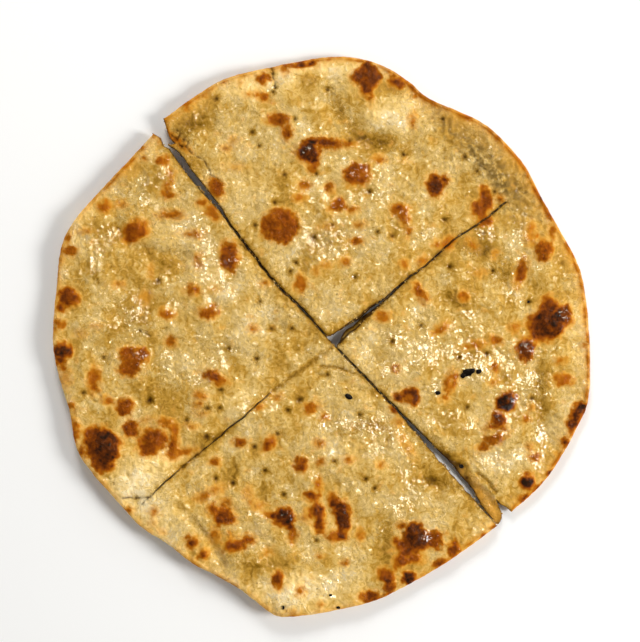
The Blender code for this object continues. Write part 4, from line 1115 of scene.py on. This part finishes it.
# Geometry Nodes: points along a line, each moved a little, with a warped ball on some of them
crumb_nodes = bpy.data.node_groups.new("crumbs_along_a_line", "GeometryNodeTree")
socket_names = {}
for name, kind in (("Line", "Geometry"), ("Spacing", "Float"), ("Spread", "Float"), ("Size", "Float"),
                   ("Seed", "Int"), ("Material", "Material")):
    socket = crumb_nodes.interface.new_socket(name, in_out="INPUT", socket_type="NodeSocket" + kind)
    socket_names[name] = socket.identifier
crumb_nodes.interface.new_socket("Crumbs", in_out="OUTPUT", socket_type="NodeSocketGeometry")
given = add(crumb_nodes, "NodeGroupInput").outputs
seed = given["Seed"]
curve = add(crumb_nodes, "GeometryNodeMeshToCurve", {"Mesh": given["Line"]})
points = add(crumb_nodes, "GeometryNodeCurveToPoints", {"Curve": curve, "Length": given["Spacing"]},
             mode="LENGTH")
aside, stretch, turned = (
    add(crumb_nodes, "FunctionNodeRandomValue", {0: least, 1: most, "Seed": seed},
        data_type="FLOAT_VECTOR")
    for least, most in CRUMB_RANGES)
aside = add(crumb_nodes, "ShaderNodeVectorMath", {0: aside, "Scale": given["Spread"]}, operation="SCALE")
moved = add(crumb_nodes, "GeometryNodeSetPosition", {"Geometry": points, "Offset": aside})
ball = add(crumb_nodes, "GeometryNodeMeshIcoSphere", {"Radius": given["Size"], "Subdivisions": 3})
kept = add(crumb_nodes, "FunctionNodeRandomValue", {"Probability": CRUMB_SHARE, "Seed": seed},
           data_type="BOOLEAN").outputs[3]
balls = add(crumb_nodes, "GeometryNodeInstanceOnPoints",
            {"Points": moved, "Instance": ball, "Selection": kept, "Rotation": turned, "Scale": stretch})
real = add(crumb_nodes, "GeometryNodeRealizeInstances", {"Geometry": balls})
rough = add(crumb_nodes, "ShaderNodeTexNoise", {"Scale": 1 / (CRUMB_WARP * MM), "Detail": 1.0})
rough = add(crumb_nodes, "ShaderNodeVectorMath", {0: rough.outputs["Color"], 1: (0.5, 0.5, 0.5)},
            operation="SUBTRACT")
rough = add(crumb_nodes, "ShaderNodeVectorMath", {0: rough, "Scale": given["Size"]}, operation="SCALE")
warped = add(crumb_nodes, "GeometryNodeSetPosition", {"Geometry": real, "Offset": rough})
smooth = add(crumb_nodes, "GeometryNodeSetShadeSmooth", {"Geometry": warped})
painted = add(crumb_nodes, "GeometryNodeSetMaterial", {"Geometry": smooth, "Material": given["Material"]})
add(crumb_nodes, "NodeGroupOutput", {"Crumbs": painted})

places, links = [], []
for cut, half in ((lower_cut, lower_half), (upper_cut, upper_half)):
    links += [(len(places) + i, len(places) + i + 1) for i in range(len(cut) - 1)]
    height = crust_height(*cut.T, half) - CRUMB_SINK
    places += np.column_stack([cut, height]).tolist()
line_mesh = bpy.data.meshes.new("cut_lines")
line_mesh.from_pydata((np.array(places) * MM).tolist(), links, [])
cut_lines = new_object("cut_lines", line_mesh)
scatter = cut_lines.modifiers.new("crumbs", "NODES")
scatter.node_group = crumb_nodes
for name, value in (("Spacing", CRUMB_SPACING * MM), ("Spread", CRUMB_SPREAD * MM),
                    ("Size", CRUMB_SIZE * MM), ("Seed", SEED), ("Material", toasted)):
    scatter[socket_names[name]] = value
evaluated = cut_lines.evaluated_get(bpy.context.evaluated_depsgraph_get())
crumb_mesh = bpy.data.meshes.new_from_object(evaluated)
bpy.data.objects.remove(cut_lines)
crumbs = new_object("cut_crumbs", crumb_mesh)
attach(crumbs, "root")

# ================================================================================================
# Char flakes
# Flour that burnt on the oven's wall and came off on the buttered crust: black, glossy and stuck fast.
# Each is a knobbly lump, pressed flat on the skin.
# ================================================================================================

# x, y, length, width, tilt in degrees, and the half that each lies on
FLAKES = [
    (61.9, -15.2, 4.6, 3.2, 0, upper_half), (60.0, -16.4, 2.6, 2.2, 40, upper_half),
    (63.8, -14.4, 2.4, 2.0, 0, upper_half), (66.4, -14.7, 2.5, 1.9, 20, upper_half),
    (49.3, -23.7, 2.2, 1.7, 0, upper_half), (87.5, 14.6, 1.1, 1.0, 0, upper_half),
    (59.3, -54.6, 2.0, 1.5, -20, upper_half), (11.8, -25.2, 3.2, 2.2, -30, lower_half),
    (4.3, -108.5, 1.3, 1.1, 0, lower_half), (-15.5, -113.3, 1.0, 1.8, 0, lower_half),
    (7.5, -113.8, 1.6, 1.2, 0, lower_half),
]
FLAKE_HEIGHT = 0.9
FLAKE_LIFT = 0.1
FLAKE_WARP, FLAKE_KNOBS, FLAKE_PATTERN = 0.3, 0.7, 50
FLAKE_COLOUR = "#0C0704"
FLAKE_GRAIN, FLAKE_GRAIN_HEIGHT = 0.7, 0.15

# Burnt flour: near black and half glossy, with a bubbly surface
burnt, tree, shader = new_material("burnt_flour")
where = add(tree, "ShaderNodeTexCoord").outputs["Object"]
knobs = add(tree, "ShaderNodeTexNoise", {"Vector": where, "Scale": 1 / (FLAKE_GRAIN * MM), "Detail": 1.0})
bump = add(tree, "ShaderNodeBump", {"Height": knobs, "Distance": FLAKE_GRAIN_HEIGHT * MM})
feed(shader, {"Base Color": linear(FLAKE_COLOUR), "Roughness": 0.38, "Specular IOR Level": 0.07,
              "Normal": bump})

ball = bmesh.new()
bmesh.ops.create_icosphere(ball, subdivisions=3, radius=1)
round_points = np.array([point.co for point in ball.verts])
round_faces = np.array([[point.index for point in face.verts] for face in ball.faces])
ball.free()
places, faces = [], []
for number, (cx, cy, length, width, tilt, half) in enumerate(FLAKES):
    x, y, z = round_points.T
    warp = 1 + FLAKE_WARP * lumps(x + z / 2, y - z / 2, FLAKE_KNOBS, FLAKE_PATTERN + number)
    c, s = math.cos(math.radians(tilt)), math.sin(math.radians(tilt))
    across, up = x * warp * length / 2, y * warp * width / 2
    x, y = cx + across * c - up * s, cy + across * s + up * c
    height = crust_height(x, y, half) + FLAKE_LIFT + z * warp * FLAKE_HEIGHT / 2
    faces += (round_faces + len(places)).tolist()
    places += np.column_stack([x, y, height]).tolist()
flake_mesh = bpy.data.meshes.new("char_flakes")
flake_mesh.from_pydata((np.array(places) * MM).tolist(), [], faces)
flake_mesh.materials.append(burnt)
flake_mesh.shade_smooth()
flakes = new_object("char_flakes", flake_mesh)
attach(flakes, "root")

# ================================================================================================
# Floor, light and camera
# A pale matt floor in a bright room, lit by a soft key lamp on the right, a second one at the far side
# and a weak fill overhead that isn't reflected. Two more lamps show only in the gloss of the butter.
# The camera looks straight down.
# ================================================================================================

FLOOR_COLOUR = "#FCFBF8"
FLOOR_REACH = 2.0
# How bright the room is from level to straight up: height of the direction, brightness
ROOM_STOPS = [(0.0, 1.3), (0.40, 1.3), (0.53, 0.4), (0.66, 0.07), (0.82, 0.01)]
LAMP_DISTANCE = 1.2
WHITE, WARM = (1.0, 1.0, 1.0), (1.0, 0.92, 0.74)
# Turn and lift in degrees, width in metres, watts, colour, whether it lights matt surfaces, and whether
# it shows in gloss
LAMPS = {
    "key": (-8, 31, 0.42, 12.4, WHITE, True, True),
    "side": (96, 33, 0.36, 7.1, WHITE, True, True),
    "fill": (0, 90, 0.9, 0.5, WHITE, True, False),
    "shine": (35, 66, 0.5, 11.5, WARM, False, True),
    "sparkle": (150, 70, 0.16, 2.2, WARM, False, True),
}
LENS, SENSOR = 85.0, 36.0
VIEW_HEIGHT = 269.6
VIEW_CENTRE = (-0.2, 6.5)
SURFACE_HEIGHT = 4.5

# Matt paint, which gives the eye nothing but its colour and the shadows
floor_paint, tree, shader = new_material("matt_pale_floor")
feed(shader, {"Base Color": linear(FLOOR_COLOUR), "Roughness": 0.7, "Specular IOR Level": 0.0})
corners = [(x * FLOOR_REACH, y * FLOOR_REACH, 0) for x, y in ((-1, -1), (1, -1), (1, 1), (-1, 1))]
floor_mesh = bpy.data.meshes.new("floor")
floor_mesh.from_pydata(corners, [], [(0, 1, 2, 3)])
floor_mesh.materials.append(floor_paint)
floor = new_object("floor", floor_mesh)

world = bpy.data.worlds.new("room")
bpy.context.scene.world = world
world.use_nodes = True
room = world.node_tree
direction = add(room, "ShaderNodeTexCoord").outputs["Generated"]
upward = add(room, "ShaderNodeSeparateXYZ", {0: direction}).outputs["Z"]
glow = add(room, "ShaderNodeValToRGB", {"Fac": upward})
fill_ramp(glow.color_ramp, [(place, (level, level, level, 1)) for place, level in ROOM_STOPS])
feed(room.nodes["Background"], {"Color": glow})

for name, (turn, lift, width, power, colour, lights_matt, shows_in_gloss) in LAMPS.items():
    turn, lift = math.radians(turn), math.radians(lift)
    lamp = bpy.data.lights.new(name, "AREA")
    lamp.shape = "DISK"
    lamp.size = width
    lamp.energy = power
    lamp.color = colour
    holder = new_object(name, lamp)
    out = LAMP_DISTANCE * math.cos(lift)
    holder.location = (out * math.cos(turn), out * math.sin(turn), LAMP_DISTANCE * math.sin(lift))
    holder.rotation_euler = (math.pi / 2 - lift, 0, turn + math.pi / 2)
    holder.visible_diffuse = lights_matt
    holder.visible_glossy = shows_in_gloss

view = bpy.data.cameras.new("above")
view.lens = LENS
view.sensor_width = SENSOR
camera = new_object("above", view)
distance = VIEW_HEIGHT / SENSOR * LENS
camera.location = (VIEW_CENTRE[0] * MM, VIEW_CENTRE[1] * MM, (distance + SURFACE_HEIGHT) * MM)
bpy.context.scene.camera = camera
bpy.context.scene.view_settings.view_transform = "Standard"
